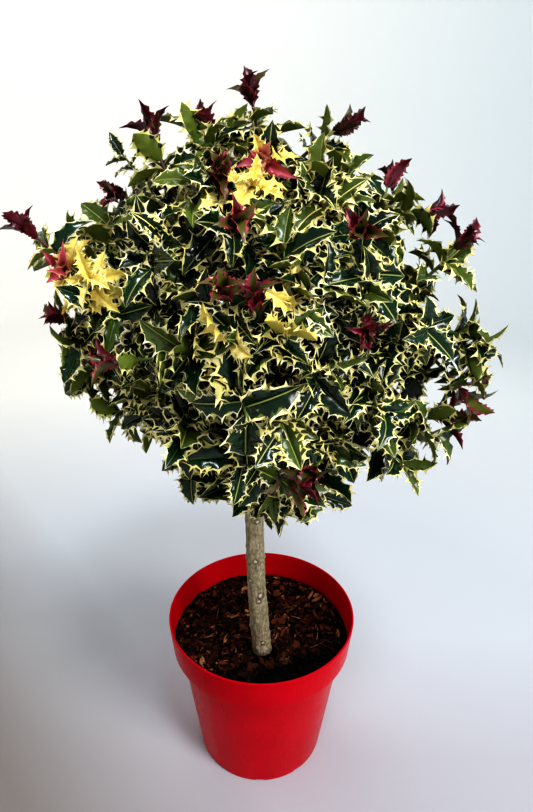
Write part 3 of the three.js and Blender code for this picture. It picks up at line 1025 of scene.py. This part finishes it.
class HOLLY_OT_add_pot(bpy.types.Operator):
    """Add the moulded pot: a tapered body, a deep collar with a rounded lip, and notches at the foot"""

    bl_idname = "holly.add_pot"
    bl_label = "Pot"

    def execute(self, context):
        pot = context.scene.holly_pot
        rim, foot, wall, top = pot.rim_radius, pot.foot_radius, pot.wall, pot.height
        neck, collar_foot = 0.111, 0.121
        ledge = top - pot.collar_height
        floor = 0.004
        profile = [
            (0, 0, 0),
            (foot, 0, 0.0022),
            (neck, ledge - wall, 0.0016),
            (collar_foot, ledge - wall, 0.0022),
            (rim, top, 0.0012),
            (rim - wall, top, 0.0011),
            (collar_foot - wall, ledge, 0.0016),
            (neck - wall, ledge, 0.0016),
            (foot - wall, floor, 0.003),
            (0, floor, 0),
        ]
        sides = 160
        outline = lathe(rounded(profile)[1:-1], sides)
        points, faces = closed_grid(outline, sides, [(0, 0, 0), (0, 0, floor)])
        mesh = self.cut_notches(simple_mesh("pot", points, faces, scale=1), foot)
        add_piece("moulded_pot", mesh, [red_plastic(pot)], ["pot"])
        return {"FINISHED"}

    def cut_notches(self, mesh, foot):
        """The shell with its small drainage notches cut round its foot."""
        cutters = bmesh.new()
        for i in range(NOTCHES):
            turn = Matrix.Rotation((i + 0.5) / NOTCHES * 2 * math.pi, 4, "Z")
            size = Matrix.Diagonal((*NOTCH_SIZE, 1))
            bmesh.ops.create_cube(cutters, matrix=turn @ Matrix.Translation((foot, 0, 0)) @ size)
        cutter_mesh = bpy.data.meshes.new("notches")
        cutters.to_mesh(cutter_mesh)
        cutters.free()
        shell = link("shell", mesh)
        cutter = link("notches", cutter_mesh)
        cut = shell.modifiers.new("notches", "BOOLEAN")
        cut.operation = "DIFFERENCE"
        cut.solver = "EXACT"
        cut.object = cutter
        bpy.context.view_layer.update()
        depsgraph = bpy.context.evaluated_depsgraph_get()
        result = bpy.data.meshes.new_from_object(shell.evaluated_get(depsgraph))
        for part in (shell, cutter):
            bpy.data.objects.remove(part)
        result.name = "pot"
        result.set_sharp_from_angle(angle=math.radians(38))
        return result


# ---------------------------------------------------------------- mulch

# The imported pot's collar and wall, and the underside of its bed of mulch, in millimetres.
LEDGE_HEIGHT = 182
COLLAR_HEIGHT = 42
COLLAR_FOOT = 121
RIM = 125
POT_WALL = 2.6
BED_UNDER = 182.6
# The smallest piece of bark, and how far the pieces stay from the trunk's axis.
SMALLEST_CHIP = 2.5
TRUNK_SPACE = 13.5
# How far the pieces' middles lie above the bed's level.
HEAPED = (0.2, 4.6)
# Where the biggest flakes lie, beside the trunk.
NEST = Vector((34, -22))


class HOLLY_OT_add_mulch(bpy.types.Operator):
    """Add the bark mulch: a dark uneven bed, flakes of bark in several tones, and pale splinters"""

    bl_idname = "holly.add_mulch"
    bl_label = "Mulch"

    def execute(self, context):
        mulch = context.scene.holly_mulch
        up_the_collar = (MULCH_TOP - LEDGE_HEIGHT) / COLLAR_HEIGHT
        self.inside = between(COLLAR_FOOT, RIM, up_the_collar) - POT_WALL - CLEAR
        self.add_bed(mulch)
        self.add_chips(mulch)
        return {"FINISHED"}

    def level_at(self, x, y):
        """The height of the bed: uneven, and a little higher at the back left than at the front."""
        wave = noise.noise(Vector((x, y, 3)) * 0.03) + 0.6 * noise.noise(Vector((x, y, 9)) * 0.08)
        slope = clamp((y - 0.5 * x) / self.inside, -1, 1)
        return MULCH_TOP - 4.2 + 2.4 * wave + 1.3 * slope

    def add_bed(self, mulch):
        rings, sides = 34, 96
        points = [(0, 0, BED_UNDER)] + ring(self.inside - 1, BED_UNDER, sides)
        faces = [(0, 1 + (j + 1) % sides, 1 + j) for j in range(sides)]
        for i in range(rings):
            radius = self.inside * (1 - i / rings)
            for j in range(sides):
                turn = 2 * math.pi * (j + 0.5 * (i % 2)) / sides
                x, y = radius * math.cos(turn), radius * math.sin(turn)
                grain = noise.noise(Vector((x, y, 0)) * 0.35)
                points.append((x, y, self.level_at(x, y) + 1.3 * grain))
        faces += [(a + 1, b + 1, c + 1) for a, b, c in grid_faces(rings + 1, sides)]
        faces += fan(1 + rings * sides, sides, len(points))
        points.append((0, 0, self.level_at(0, 0)))
        mesh = simple_mesh("mulch_bed", points, faces)
        add_piece("mulch_bed", mesh, [wet_soil(mulch)], ["mulch"])

    def add_chips(self, mulch):
        """Crumbs, then plates, then splinters lie on the bed at every angle, clear of trunk and pot."""
        draws = np.random.default_rng(11)
        build = Build()
        middling = mulch.chip_length / MM
        for _ in range(mulch.crumbs):
            size = middling * draws.uniform(0.25, 0.55)
            self.lay(build, draws, size, draws.uniform(0.5, 0.95), draws.uniform(1.2, 3.0), 0.5, False)
        for _ in range(mulch.chips):
            size = middling * (0.6 + 1.5 * draws.random() ** 2)
            self.lay(build, draws, size, draws.uniform(0.22, 0.6), draws.uniform(1.2, 3.6), 0.4, False)
        for _ in range(mulch.slivers):
            size = draws.uniform(8, 26)
            self.lay(build, draws, size, draws.uniform(1.0, 2.0) / size, 1.1, 0.2, True)
        for _ in range(mulch.big_chips):
            size = draws.uniform(13, 21)
            spot = NEST + Vector(draws.normal(0, 9, 2).tolist())
            self.lay(build, draws, size, draws.uniform(0.3, 0.7), draws.uniform(2, 4), 0.3, False, spot)
        for spot, length in ((NEST + Vector((2, -16)), 44), (NEST + Vector((-16, 4)), 17)):
            self.lay(build, draws, length, 2.2 / length, 1.6, 0.05, True, spot)
        mesh = build.mesh("bark_chips")
        mesh.set_sharp_from_angle(angle=math.radians(28))
        brown, red = mulch.brown_colour, mulch.red_colour
        tones = [
            bark_chip("chip_dark", linear("090302"), mulch.dark_colour),
            bark_chip("chip_brown", mulch.dark_colour, brown),
            bark_chip("chip_red", brown, red),
            bark_chip("chip_pale", red, mulch.pale_colour),
        ]
        add_piece("bark_chips", mesh, tones, ["mulch"])

    def lay(self, build, draws, size, slim, thick, lean, sliver, spot=None):
        """Lay one piece of bark down, at a spot or anywhere, where it clears the trunk and the pot."""
        reach = (self.inside - 4) * math.sqrt(draws.random())
        turn = draws.random() * 2 * math.pi
        x, y = spot or (reach * math.cos(turn), reach * math.sin(turn))
        reach = math.hypot(x, y)
        size = min(size, 2 * (self.inside - 1 - reach))
        from_trunk = math.hypot(x - TRUNK_FOOT.x, y - TRUNK_FOOT.y)
        if size < SMALLEST_CHIP or from_trunk < TRUNK_SPACE + size * 0.32:
            return
        count = 4 if sliver else int(draws.integers(5, 9))
        points, faces = self.flake(draws, count, size, size * slim, thick, sliver)
        tilt = draws.normal(0, lean, 2)
        place = (
            Matrix.Translation((x, y, self.level_at(x, y) + draws.uniform(*HEAPED)))
            @ Matrix.Rotation(draws.random() * 2 * math.pi, 4, "Z")
            @ Matrix.Rotation(tilt[0], 4, "X")
            @ Matrix.Rotation(clamp(tilt[1], -3 / size, 3 / size), 4, "Y")
        )
        tone = draws.choice(4, p=(0, 0, 0.3, 0.7) if sliver else (0.24, 0.46, 0.26, 0.04))
        build.add([(place @ Vector(p))[:] for p in points], faces, int(tone))

    def flake(self, draws, count, size, width, thick, sliver):
        """A slab with an irregular outline, slightly domed on both faces."""
        turns = (np.arange(count) + draws.uniform(-0.3, 0.3, count)) * 2 * math.pi / count
        reach = draws.uniform(0.72, 1.12, count)
        if sliver:
            turns = np.arange(4) * math.pi / 2
            reach = np.ones(4)
        x = np.cos(turns) * reach * size / 2
        y = np.sin(turns) * reach * width / 2
        top = thick / 2 * draws.uniform(0.6, 1.2, count)
        points = [(x[k], y[k], top[k]) for k in range(count)]
        points += [(x[k] * 0.9, y[k] * 0.9, -top[k]) for k in range(count)]
        points += [(0, 0, thick * 0.62), (0, 0, -thick * 0.6)]
        faces = []
        for k in range(count):
            n = (k + 1) % count
            faces += [(k, n, 2 * count), (count + n, count + k, 2 * count + 1)]
            faces += [(k, count + k, count + n), (k, count + n, n)]
        return points, faces


# ---------------------------------------------------------------- trunk and boughs

# Scars and burrs on the trunk: height above the mulch, turn round the trunk from the front towards the
# right in degrees, how far it stands out, and its spread up and round, in millimetres.
BURRS = [
    (148, 0, 1.2, 2.6, 60), (143, 10, -0.9, 1.3, 60), (150, 12, 1.3, 2.6, 4), (39, 268, 2.6, 6.5, 6),
    (52, 262, 1.3, 5, 4), (133, 275, 1.2, 5, 5), (128, 88, 1.1, 4, 4), (95, 30, 1.1, 3, 3.2),
    (86, 45, 0.9, 2.6, 3), (104, 335, 0.8, 2.8, 3), (66, 15, 0.7, 3, 4), (24, 60, 1.0, 4, 5),
    (205, 330, 1.2, 4, 4), (250, 100, 1.4, 5, 5), (178, 185, 1.6, 5, 5), (74, 170, 1.3, 5, 6),
]
# The trunk's middling radius, which turns an angle into millimetres round it.
TRUNK_ROUND = 11


def trunk_radius(bark, share):
    height = share * TRUNK_HEIGHT
    flare = TRUNK_FLARE * math.exp(-height / TRUNK_FLARE_HEIGHT)
    return between(bark.foot_radius, bark.fork_radius, share) / MM + flare


def burr_at(height, turn):
    """How far the burrs lift the bark at a height and a turn."""
    lift = 0
    for at, degrees, out, up, across in BURRS:
        aside = abs((math.degrees(turn) - degrees + 180) % 360 - 180)
        aside = math.radians(aside) * TRUNK_ROUND
        lift += out * math.exp(-(((height - at) / up) ** 2) - (aside / across) ** 2)
    return lift


class HOLLY_OT_add_trunk(bpy.types.Operator):
    """Add the trunk with its bark's relief: fine ridges, a ring scar, burrs and the root flare"""

    bl_idname = "holly.add_trunk"
    bl_label = "Trunk"

    def execute(self, context):
        bark = context.scene.holly_bark
        relief = bark.relief / MM

        def radius_at(t, turn):
            height = t * TRUNK_HEIGHT
            around = Vector((math.cos(turn), math.sin(turn), 0)) * 2.4
            ridges = noise.fractal(around * 1.5 + Vector((0, 0, height * 0.13)), 0.8, 2.1, 4)
            knobs = noise.noise(around * 0.55 + Vector((0, 0, height * 0.03)))
            pores = max(0, noise.noise(around * 2.6 + Vector((5, 0, height * 0.33))) - 0.25)
            lumps = noise.noise(around * 1.1 + Vector((3, 0, height * 0.09)))
            lift = relief * (ridges + 1.5 * pores) + 0.6 * knobs + 0.45 * lumps + burr_at(height, turn)
            return trunk_radius(bark, t) + lift

        points, faces = tube(TRUNK_AXIS, radius_at, 72, 300)
        foot = TRUNK_FOOT.z
        points = [Vector((p.x, p.y, foot)) if p.z < foot + 0.7 else p for p in points]
        mesh = simple_mesh("trunk_bark", points, faces)
        add_piece("trunk_bark", mesh, [old_bark(bark)], ["trunk"])
        return {"FINISHED"}


# The radii at the start and at the end of each kind of limb, in millimetres.
BOUGH_RADII = (5.2, 4.2)
STEM_RADII = (4.3, 3.0)
TWIG_RADII = (2.5, 1.3)
FINE_RADII = (1.7, 1.0)


class HOLLY_OT_add_boughs(bpy.types.Operator):
    """Add the boughs, each swelling where it leaves the trunk and tapering into its mass"""

    bl_idname = "holly.add_boughs"
    bl_label = "Boughs"

    def execute(self, context):
        bark = context.scene.holly_bark
        build = Build()
        for k, mass in enumerate(MASSES):
            curve = bough_curve(mass)
            start = clamp(6 / curve.length(), 0, 0.2)

            def radius_at(t, turn):
                around = Vector((math.cos(turn), math.sin(turn), 0))
                ripple = noise.fractal(around * 1.5 + Vector((k, 0, t * 9)), 0.8, 2, 3)
                swell = 1.6 * math.exp(-t * curve.length() / 9)
                nodes = 0.5 * max(0, math.cos(t * 4 * math.pi + k)) ** 8
                return between(*BOUGH_RADII, t) + 0.35 * ripple + swell + nodes

            points, faces = tube(curve, radius_at, 18, 26, start)
            build.add(points, faces, 0)
        nodes = ["bough_" + mass.name for mass in MASSES]
        add_piece("boughs_bark", build.mesh("boughs_bark"), [young_bark(bark)], nodes)
        return {"FINISHED"}


# ---------------------------------------------------------------- twigs


def add_by_mass(kind, materials, fill):
    """Add one piece of foliage for each mass. Fill is given its build, its stem and its twigs."""
    stems, twigs = grow_crown()
    for mass in MASSES:
        build = Build()
        fill(build, stems[mass.name], [twig for twig in twigs if twig.mass is mass])
        name = kind + "_" + mass.name
        add_piece(name, build.mesh(name), materials, ["foliage_" + mass.name])


class HOLLY_OT_add_twigs(bpy.types.Operator):
    """Add the stems and twigs of every mass of foliage"""

    bl_idname = "holly.add_twigs"
    bl_label = "Twigs"

    def execute(self, context):
        bark = context.scene.holly_bark
        tones = [
            plain("twig_olive", bark.young_colour, 0.6),
            plain("twig_green", linear("58702c"), 0.5),
            plain("twig_purple", linear("55302c"), 0.55),
        ]
        add_by_mass("twigs", tones, self.fill)
        return {"FINISHED"}

    def fill(self, build, stem, twigs):
        self.add_limb(build, stem, STEM_RADII, 10, 8, 0)
        for twig in twigs:
            if twig.fine:
                self.add_limb(build, twig.curve, FINE_RADII, 5, 5, 1)
            else:
                self.add_limb(build, twig.curve, TWIG_RADII, 7, 8, int(roll(twig.seed, 61) * 3))

    def add_limb(self, build, curve, radii, sides, steps, tone):
        points, faces = tube(curve, lambda t, turn: between(*radii, t), sides, steps)
        build.add(points, faces, tone)


# ---------------------------------------------------------------- leaves

PARTS = ["rib", "green", "mottle", "margin", "under", "under_margin"]
GREEN, MOTTLE = PARTS.index("green"), PARTS.index("mottle")
ROWS = RIB, RIB_EDGE, MIDDLE, BORDER, OUTLINE = range(5)


class LeafForm:
    """The points and triangles of a spiny leaf laid flat, from which every leaf is bent.

    A point has a share of the leaf's length, a side, and a row: on the rib, along the rib's edge, in the
    quilted middle, where green meets cream, or on the outline. On the outline it also has how much it
    juts out as a spine and how deep it dips between two spines. All rows run from the leaf's foot to
    its tip, so the leaf is closed all round.
    """

    def __init__(self, spines, scallop, ribs, quilted, lined):
        """The scallop has (pitches from its spine, jut, dip) for each point of the outline."""
        self.first, last = 0.14, 0.85
        self.pitch = (last - self.first) / (spines - 1)
        at_spine = [self.first + self.pitch * k for k in range(spines)]
        between_spines = [u + 0.5 * self.pitch for u in at_spine[:-1]]
        outline = [(self.first - 0.5 * self.pitch, 0, 0.5)]
        outline += [(u + by * self.pitch, jut, dip) for u in at_spine for by, jut, dip in scallop]
        border = [(0.06, 0, 0.5), (0.94, 0, 0.5)]
        border += [(u, 0, 0.1) for u in at_spine] + [(u, 0, 1) for u in between_spines]
        border.sort()
        self.rows = []
        self.faces = []
        self.parts = []
        self.foot = self.add_point(0, 0, OUTLINE, 0)
        self.tip = self.add_point(1, 0, OUTLINE, 0)
        rib = self.add_row([(u, 0, 0) for u in ribs], 0, RIB, 0)
        low_rib = self.add_row([(u, 0, 0) for u in ribs], 0, RIB, 1)
        for side in (-1, 1):
            edge = self.add_row(outline, side, OUTLINE, 0)
            green_edge = self.add_row(border, side, BORDER, 0)
            if quilted:
                rib_edge = self.add_row([(u, 0, 0) for u in ribs], side, RIB_EDGE, 0)
                middle = self.add_row(border[1:-1], side, MIDDLE, 0)
                self.strip(rib, rib_edge, side, "rib")
                self.strip(rib_edge, middle, side, "green")
                self.strip(middle, green_edge, side, "mottle")
            else:
                self.strip(rib, green_edge, side, "green")
            self.strip(green_edge, edge, side, "margin")
            if lined:
                low_edge = self.add_row(border[::2], side, BORDER, 1)
                self.strip(low_rib, low_edge, -side, "under")
                self.strip(low_edge, edge, -side, "under_margin")
            else:
                self.strip(low_rib, edge, -side, "under")
        self.u, self.side, self.row, self.jut, self.dip, self.under = np.array(self.rows, float).T
        self.faces = np.array(self.faces)
        self.parts = np.array(self.parts)
        self.on_outline = self.row == OUTLINE
        self.on_tip = self.on_outline & (self.u == 1)
        turns = math.pi * (self.u - self.first) / self.pitch
        self.wave = np.cos(turns + 0.5 * self.side)
        self.quilt = np.where(self.row == MIDDLE, 0.5 - 0.5 * np.cos(2 * turns), 0)

    def add_point(self, u, side, row, under, jut=0, dip=0):
        self.rows.append((u, side, row, jut, dip, under))
        return len(self.rows) - 1

    def add_row(self, stations, side, row, under):
        """Points along the leaf, from its foot to its tip, which every row shares."""
        own = [self.add_point(u, side, row, under, jut, dip) for u, jut, dip in stations]
        return [self.foot, *own, self.tip]

    def strip(self, inner, outer, side, part):
        """Triangles between two rows, whichever point comes next along the leaf."""
        i = j = 0
        while i < len(inner) - 1 or j < len(outer) - 1:
            ahead = j == len(outer) - 1 or (
                i < len(inner) - 1 and self.rows[inner[i + 1]][0] <= self.rows[outer[j + 1]][0]
            )
            if ahead:
                face = (inner[i], outer[j], inner[i + 1])
                i += 1
            else:
                face = (inner[i], outer[j], outer[j + 1])
                j += 1
            if len(set(face)) == 3:
                self.faces.append(face if side < 0 else face[::-1])
                self.parts.append(PARTS.index(part))


# The tones of leaves: two of the leaf colours, the share of the second, and the roughness.
TONES = {
    "green_a": ("green", "deep_green", 0.0, 0.2),
    "green_b": ("green", "deep_green", 0.45, 0.22),
    "green_c": ("green", "deep_green", 0.9, 0.19),
    "green_d": ("green", "olive", 0.3, 0.26),
    # Painted shade: the shade and margin_shade tones are darker copies of the leaf colours for the inner
    # leaves.
    "shade": ("deep_green", "green", 0.15, 0.6),
    "margin_shade": ("margin", "deep_green", 0.62, 0.45),
    "mottle": ("green", "under", 0.45, 0.28),
    "margin_a": ("margin", "pale_margin", 0.25, 0.34),
    "margin_b": ("margin", "yellow", 0.3, 0.34),
    "margin_c": ("margin", "pale_margin", 0.85, 0.36),
    "margin_dull": ("margin", "olive", 0.35, 0.42),
    "fresh_a": ("olive", "green", 0.35, 0.3),
    "fresh_b": ("olive", "green", 0.65, 0.28),
    "rib": ("olive", "margin", 0.25, 0.34),
    "under_a": ("under", "olive", 0.2, 0.5),
    "under_b": ("under", "green", 0.4, 0.5),
    "yellow_a": ("yellow", "pale_margin", 0.0, 0.34),
    "yellow_b": ("yellow", "olive", 0.12, 0.36),
    "yellow_c": ("yellow", "pale_margin", 0.5, 0.36),
    "yellow_d": ("yellow", "olive", 0.45, 0.36),
    "pink_a": ("pink", "crimson", 0.3, 0.4),
    "pink_b": ("pink", "margin", 0.3, 0.4),
    "maroon_a": ("maroon", "crimson", 0.0, 0.27),
    "maroon_b": ("maroon", "crimson", 0.35, 0.3),
    "maroon_c": ("maroon", "olive", 0.3, 0.3),
    "maroon_edge": ("crimson", "pink", 0.2, 0.34),
    "bronze": ("olive", "maroon", 0.6, 0.3),
}

# What each kind of leaf draws the tones of its parts from, in the order of PARTS.
LEAF_TONES = {
    "plain": (
        "rib rib mottle", "green_a green_a green_b green_b green_c green_d", "green_a green_b mottle",
        "margin_a margin_a margin_b margin_c", "under_a under_a under_b", "margin_a margin_dull",
    ),
    "fresh": (
        "rib", "fresh_a fresh_b", "fresh_b fresh_a green_d", "margin_a margin_b", "under_a", "margin_a",
    ),
    "cream": (
        "rib margin_b", "green_b green_d fresh_a", "margin_b margin_a mottle",
        "margin_a margin_b yellow_c", "under_a margin_dull", "margin_a",
    ),
    # Painted shade: the inner leaves wear darker greens and dulled, darkened margins.
    "shaded": (
        "under_b", "green_c shade", "shade", "margin_dull margin_shade margin_b", "under_b green_c",
        "margin_shade",
    ),
    "yellow": (
        "yellow_c yellow_b", "yellow_a yellow_a yellow_b", "yellow_b yellow_d yellow_c",
        "yellow_c yellow_a", "yellow_b yellow_d", "yellow_a",
    ),
    "pink": (
        "pink_b", "pink_a pink_b pink_b", "pink_b", "pink_b maroon_edge", "pink_a", "pink_b",
    ),
    "maroon": (
        "maroon_edge", "maroon_a maroon_c", "maroon_c", "maroon_edge maroon_b maroon_b",
        "maroon_a maroon_a maroon_b", "maroon_b maroon_b maroon_edge",
    ),
    "rosy": (
        "maroon_edge", "maroon_c maroon_b bronze", "maroon_c", "pink_a maroon_edge maroon_edge",
        "maroon_b maroon_a maroon_c", "maroon_edge maroon_b",
    ),
    "bronze": (
        "maroon_edge", "bronze green_d maroon_c", "bronze", "maroon_edge maroon_b", "maroon_b bronze",
        "maroon_edge",
    ),
}
TONE_NAMES = list(TONES)

# The ranges that a leaf's bends are drawn from: its share of the full width, how deep its outline dips
# between spines, its fold along the rib, its dome, the height of its waves, its curl, and the flick of
# its tip. Yellow leaves are grown leaves that draw some of them again.
BENDS = {
    "grown": {
        "narrow": (0.9, 1.16), "dip": (0.14, 0.3), "fold": (0.0, 0.42), "dome": (0.1, 0.34),
        "wavy": (2.4, 6.2), "curl": (-0.1, 1.05), "flick": (-0.1, 0.2),
    },
    "yellow": {"dip": (0.3, 0.45), "wavy": (4.0, 7.5), "fold": (0.1, 0.7)},
    "cupped": {
        "narrow": (0.66, 0.84), "fold": (0.4, 0.9), "wavy": (0.8, 2.4), "curl": (-0.7, -0.1),
        "flick": (0.4, 1.3),
    },
    "open": {
        "narrow": (0.66, 0.84), "fold": (0.15, 0.5), "wavy": (0.8, 2.4), "curl": (-0.2, 0.5),
        "flick": (0.0, 0.5),
    },
}
SHORTEST_LEAF = 10
# Shares of a leaf's size: by chance, from a tuft's end down to its last leaf, and for touched leaves.
CHANCE_SIZE = (0.86, 1.1)
SIZE_DOWN_TUFT = (0.8, 1.06)
TOUCHED_SIZE = 0.95
# Which leaves of a touched twig are touched.
TOUCHED = (0, 2)

# Where a leaf is set: its foot, the way it grows, its upper side, its share of the full length, and how
# far from the crown's centre its tip may stand.
Seat = namedtuple("Seat", "root grow up share limit")


class HOLLY_OT_add_leaves(bpy.types.Operator):
    """Add the leaves, mass by mass: tufts at the ends of all twigs, coloured spray by spray"""

    bl_idname = "holly.add_leaves"
    bl_label = "Leaves"

    def execute(self, context):
        leaf = context.scene.holly_leaf
        self.length = leaf.length / MM
        self.half_width = leaf.width / MM / 2
        self.spine = leaf.spine / MM
        self.rim = leaf.rim / MM
        round_scallop = [(-0.14, 0, 0.35), (0, 1, 0), (0.14, 0, 0.35), (0.5, 0, 1)]
        open_scallop = [(0, 1, 0), (0.3, 0, 0.9), (0.7, 0, 0.9)]
        notched = [(0, 1, 0), (0.5, 0, 1)]
        self.fine_form = LeafForm(6, round_scallop, (0.1, 0.3, 0.5, 0.7, 0.88), True, True)
        self.inner_form = LeafForm(5, open_scallop, (0.2, 0.5, 0.8), False, False)
        self.young_form = LeafForm(6, notched, (0.15, 0.4, 0.65, 0.88), False, True)
        add_by_mass("leaves", [self.tone(leaf, name) for name in TONE_NAMES], self.fill)
        return {"FINISHED"}

    def fill(self, build, _stem, twigs):
        for twig in twigs:
            self.dress_twig(build, twig)

    def tone(self, leaf, name):
        first, second, share, roughness = TONES[name]
        colour = Vector(getattr(leaf, first)).lerp(Vector(getattr(leaf, second)), share)
        return plain("leaf_" + name, colour, roughness)

    def dress_twig(self, build, twig):
        """The tuft at a twig's end: leaves in a spiral, more spread the further down they stand."""
        draws = np.random.default_rng(twig.seed)
        steps = 24
        ladder = [twig.curve.point(1 - k / steps) for k in range(steps + 1)]
        start = draws.random() * 2 * math.pi
        tuft, young_kind, grown_kind = TWIG_KINDS[twig.kind]
        number = 0
        for ring_number, (count, size, tight, wide, first, gap) in enumerate(TUFTS[tuft][1]):
            young = ring_number == 0 and tuft in YOUNG_TUFTS
            for i in range(count):
                touched = twig.kind == "touched" and i in TOUCHED
                kind = young_kind if young or touched else grown_kind
                at, along = self.down(ladder, first + gap * i)
                if at is None:
                    break
                if tuft == "rosette":
                    along = (along + ROSETTES_FACE).normalized()
                side, front = square_to(along)
                turn = start + GOLDEN_ANGLE * number
                number += 1
                open_by = math.radians(between(tight, wide, i / max(1, count - 1)) + draws.normal(0, 6))
                out = side * math.cos(turn) + front * math.sin(turn)
                grow = along * math.cos(open_by) + out * math.sin(open_by)
                up = along * math.sin(open_by) - out * math.cos(open_by)
                share = size * draws.uniform(*CHANCE_SIZE) * (TOUCHED_SIZE if touched else 1)
                if young:
                    seat = Seat(at, grow, up, share, twig.limit + YOUNG_ROOM)
                    bend = self.young_bend(draws, tuft)
                    self.add_leaf(build, draws, self.young_form, seat, kind, bend)
                else:
                    up = self.turned_to_light(up, grow, twig.heading, draws)
                    share *= between(*SIZE_DOWN_TUFT, i / count)
                    seat = Seat(at, grow, up, share, twig.limit)
                    form = self.inner_form if twig.kind == "inner" else self.fine_form
                    self.add_leaf(build, draws, form, seat, kind, self.grown_bend(draws, kind))

    def down(self, ladder, distance):
        """The point at a distance below a twig's end, and the way the twig runs there."""
        for upper, lower in zip(ladder, ladder[1:]):
            step = (upper - lower).length
            if distance <= step:
                return upper.lerp(lower, distance / step), (upper - lower).normalized()
            distance -= step
        return None, None

    def turned_to_light(self, up, grow, heading, draws):
        """A grown leaf turns its upper side a little towards the sky and out of the crown."""
        outward = Vector((heading.x, heading.y, max(0, heading.z)))
        turned = up * 0.8 + outward * 0.85 + Vector((0, 0, 0.45 + 0.7 * max(0, -heading.z)))
        turned -= grow * turned.dot(grow)
        return Matrix.Rotation(draws.normal(0, 0.28), 3, grow) @ turned.normalized()

    def grown_bend(self, draws, kind):
        bend = self.drawn("grown", draws)
        bend["twist"] = draws.normal(0, 0.3)
        if kind == "yellow":
            bend["narrow"] *= 0.84
            bend |= self.drawn("yellow", draws)
        return bend

    def young_bend(self, draws, tuft):
        """A young leaf stands cupped round the bud, or open in a star, and its tip turns out."""
        bend = self.drawn("open" if tuft == "star" else "cupped", draws)
        return bend | {"spiny": 0.55, "dip": 0.2, "dome": 0.05, "twist": draws.normal(0, 0.3)}

    def drawn(self, group, draws):
        """A leaf's bends, each drawn from its range."""
        return {name: draws.uniform(low, high) for name, (low, high) in BENDS[group].items()}

    def add_leaf(self, build, draws, form, seat, kind, bend):
        """Bend the flat form into one leaf: folded on its rib, curled along it, waved at its spines."""
        length = self.length * seat.share
        length -= max(0, (seat.root + seat.grow * length - CROWN_CENTRE).length - seat.limit)
        if length < SHORTEST_LEAF:
            return
        scale = length / self.length
        width = self.half_width * scale * bend["narrow"]
        count = len(form.u)
        body = width * np.sin(np.pi * np.clip(form.u, 0, 1) ** 0.86) ** 0.62
        jut = form.jut * self.spine * bend.get("spiny", 1) * scale * draws.uniform(0.7, 1.3, count)
        rim = self.rim * scale * draws.uniform(0.7, 1.4) * draws.uniform(0.5, 1.7, count)
        border = np.maximum(body * (1 - bend["dip"] * form.dip) - rim, 0.55 * body)
        middle = body * draws.uniform(0.4, 0.52, count)
        edge = np.where(form.on_tip, 0, body * (1 - bend["dip"] * form.dip) + jut)
        rows = [form.row == row for row in ROWS]
        lateral = np.select(rows, [0 * body, np.minimum(0.55 * scale, 0.3 * body), middle, border, edge])
        out = lateral / width
        x = form.u * length + 0.35 * jut + np.where(form.on_tip, 0.5 * self.spine * scale, 0)
        y = form.side * lateral
        wavy = bend["wavy"] * scale * form.wave * out**2.2
        dome = bend["dome"] * width * np.sin(np.pi * np.clip(out, 0, 1))
        z = bend["fold"] * lateral + wavy + dome + 0.9 * scale * form.quilt
        z += np.where(form.under > 0, -0.35, 0) + np.where(form.row == RIB, -0.2, 0)
        far = x / length
        turn = bend["twist"] * far
        y, z = y * np.cos(turn) - z * np.sin(turn), y * np.sin(turn) + z * np.cos(turn)
        z -= length * (bend["curl"] * far**2 / 2 + bend["flick"] * far**4 / 2)
        x -= length * bend["curl"] ** 2 * far**3 / 6
        axes = np.array((seat.grow, seat.up.cross(seat.grow), seat.up))
        points = np.array(seat.root) + np.stack((x, y, z), axis=1) @ axes
        tones = np.array([TONE_NAMES.index(draws.choice(part.split())) for part in LEAF_TONES[kind]])
        slots = tones[form.parts]
        flecked = draws.random(len(slots)) < draws.uniform(0.0, 0.5)
        slots[(form.parts == GREEN) & flecked & (kind == "yellow")] = tones[MOTTLE]
        slots[(form.parts == MOTTLE) & ~flecked] = tones[GREEN]
        build.add(points, form.faces, slots, form.on_outline)


# ---------------------------------------------------------------- panel and running

OPERATORS = [
    HOLLY_OT_add_stage,
    HOLLY_OT_add_pot,
    HOLLY_OT_add_mulch,
    HOLLY_OT_add_trunk,
    HOLLY_OT_add_boughs,
    HOLLY_OT_add_twigs,
    HOLLY_OT_add_leaves,
]


class HOLLY_PT_panel(bpy.types.Panel):
    """The sizes and colours of the holly, and its pieces in the order in which they are made"""

    bl_label = "Holly"
    bl_idname = "HOLLY_PT_panel"
    bl_space_type = "VIEW_3D"
    bl_region_type = "UI"
    bl_category = "Holly"

    def draw(self, context):
        layout = self.layout
        for operator in OPERATORS:
            layout.operator(operator.bl_idname)
        for pointer, group in SETTINGS.items():
            box = layout.box()
            for name in group.__annotations__:
                box.prop(getattr(context.scene, pointer), name)


def register():
    for group in SETTINGS.values():
        bpy.utils.register_class(group)
    for pointer, group in SETTINGS.items():
        setattr(bpy.types.Scene, pointer, PointerProperty(type=group))
    for operator in OPERATORS:
        bpy.utils.register_class(operator)
    bpy.utils.register_class(HOLLY_PT_panel)


def unregister():
    bpy.utils.unregister_class(HOLLY_PT_panel)
    for operator in reversed(OPERATORS):
        bpy.utils.unregister_class(operator)
    for pointer in SETTINGS:
        delattr(bpy.types.Scene, pointer)
    for group in SETTINGS.values():
        bpy.utils.unregister_class(group)


def main():
    register()
    bpy.ops.holly.add_stage()
    bpy.ops.holly.add_pot()
    bpy.ops.holly.add_mulch()
    bpy.ops.holly.add_trunk()
    bpy.ops.holly.add_boughs()
    bpy.ops.holly.add_twigs()
    bpy.ops.holly.add_leaves()


if __name__ == "__main__":
    main()
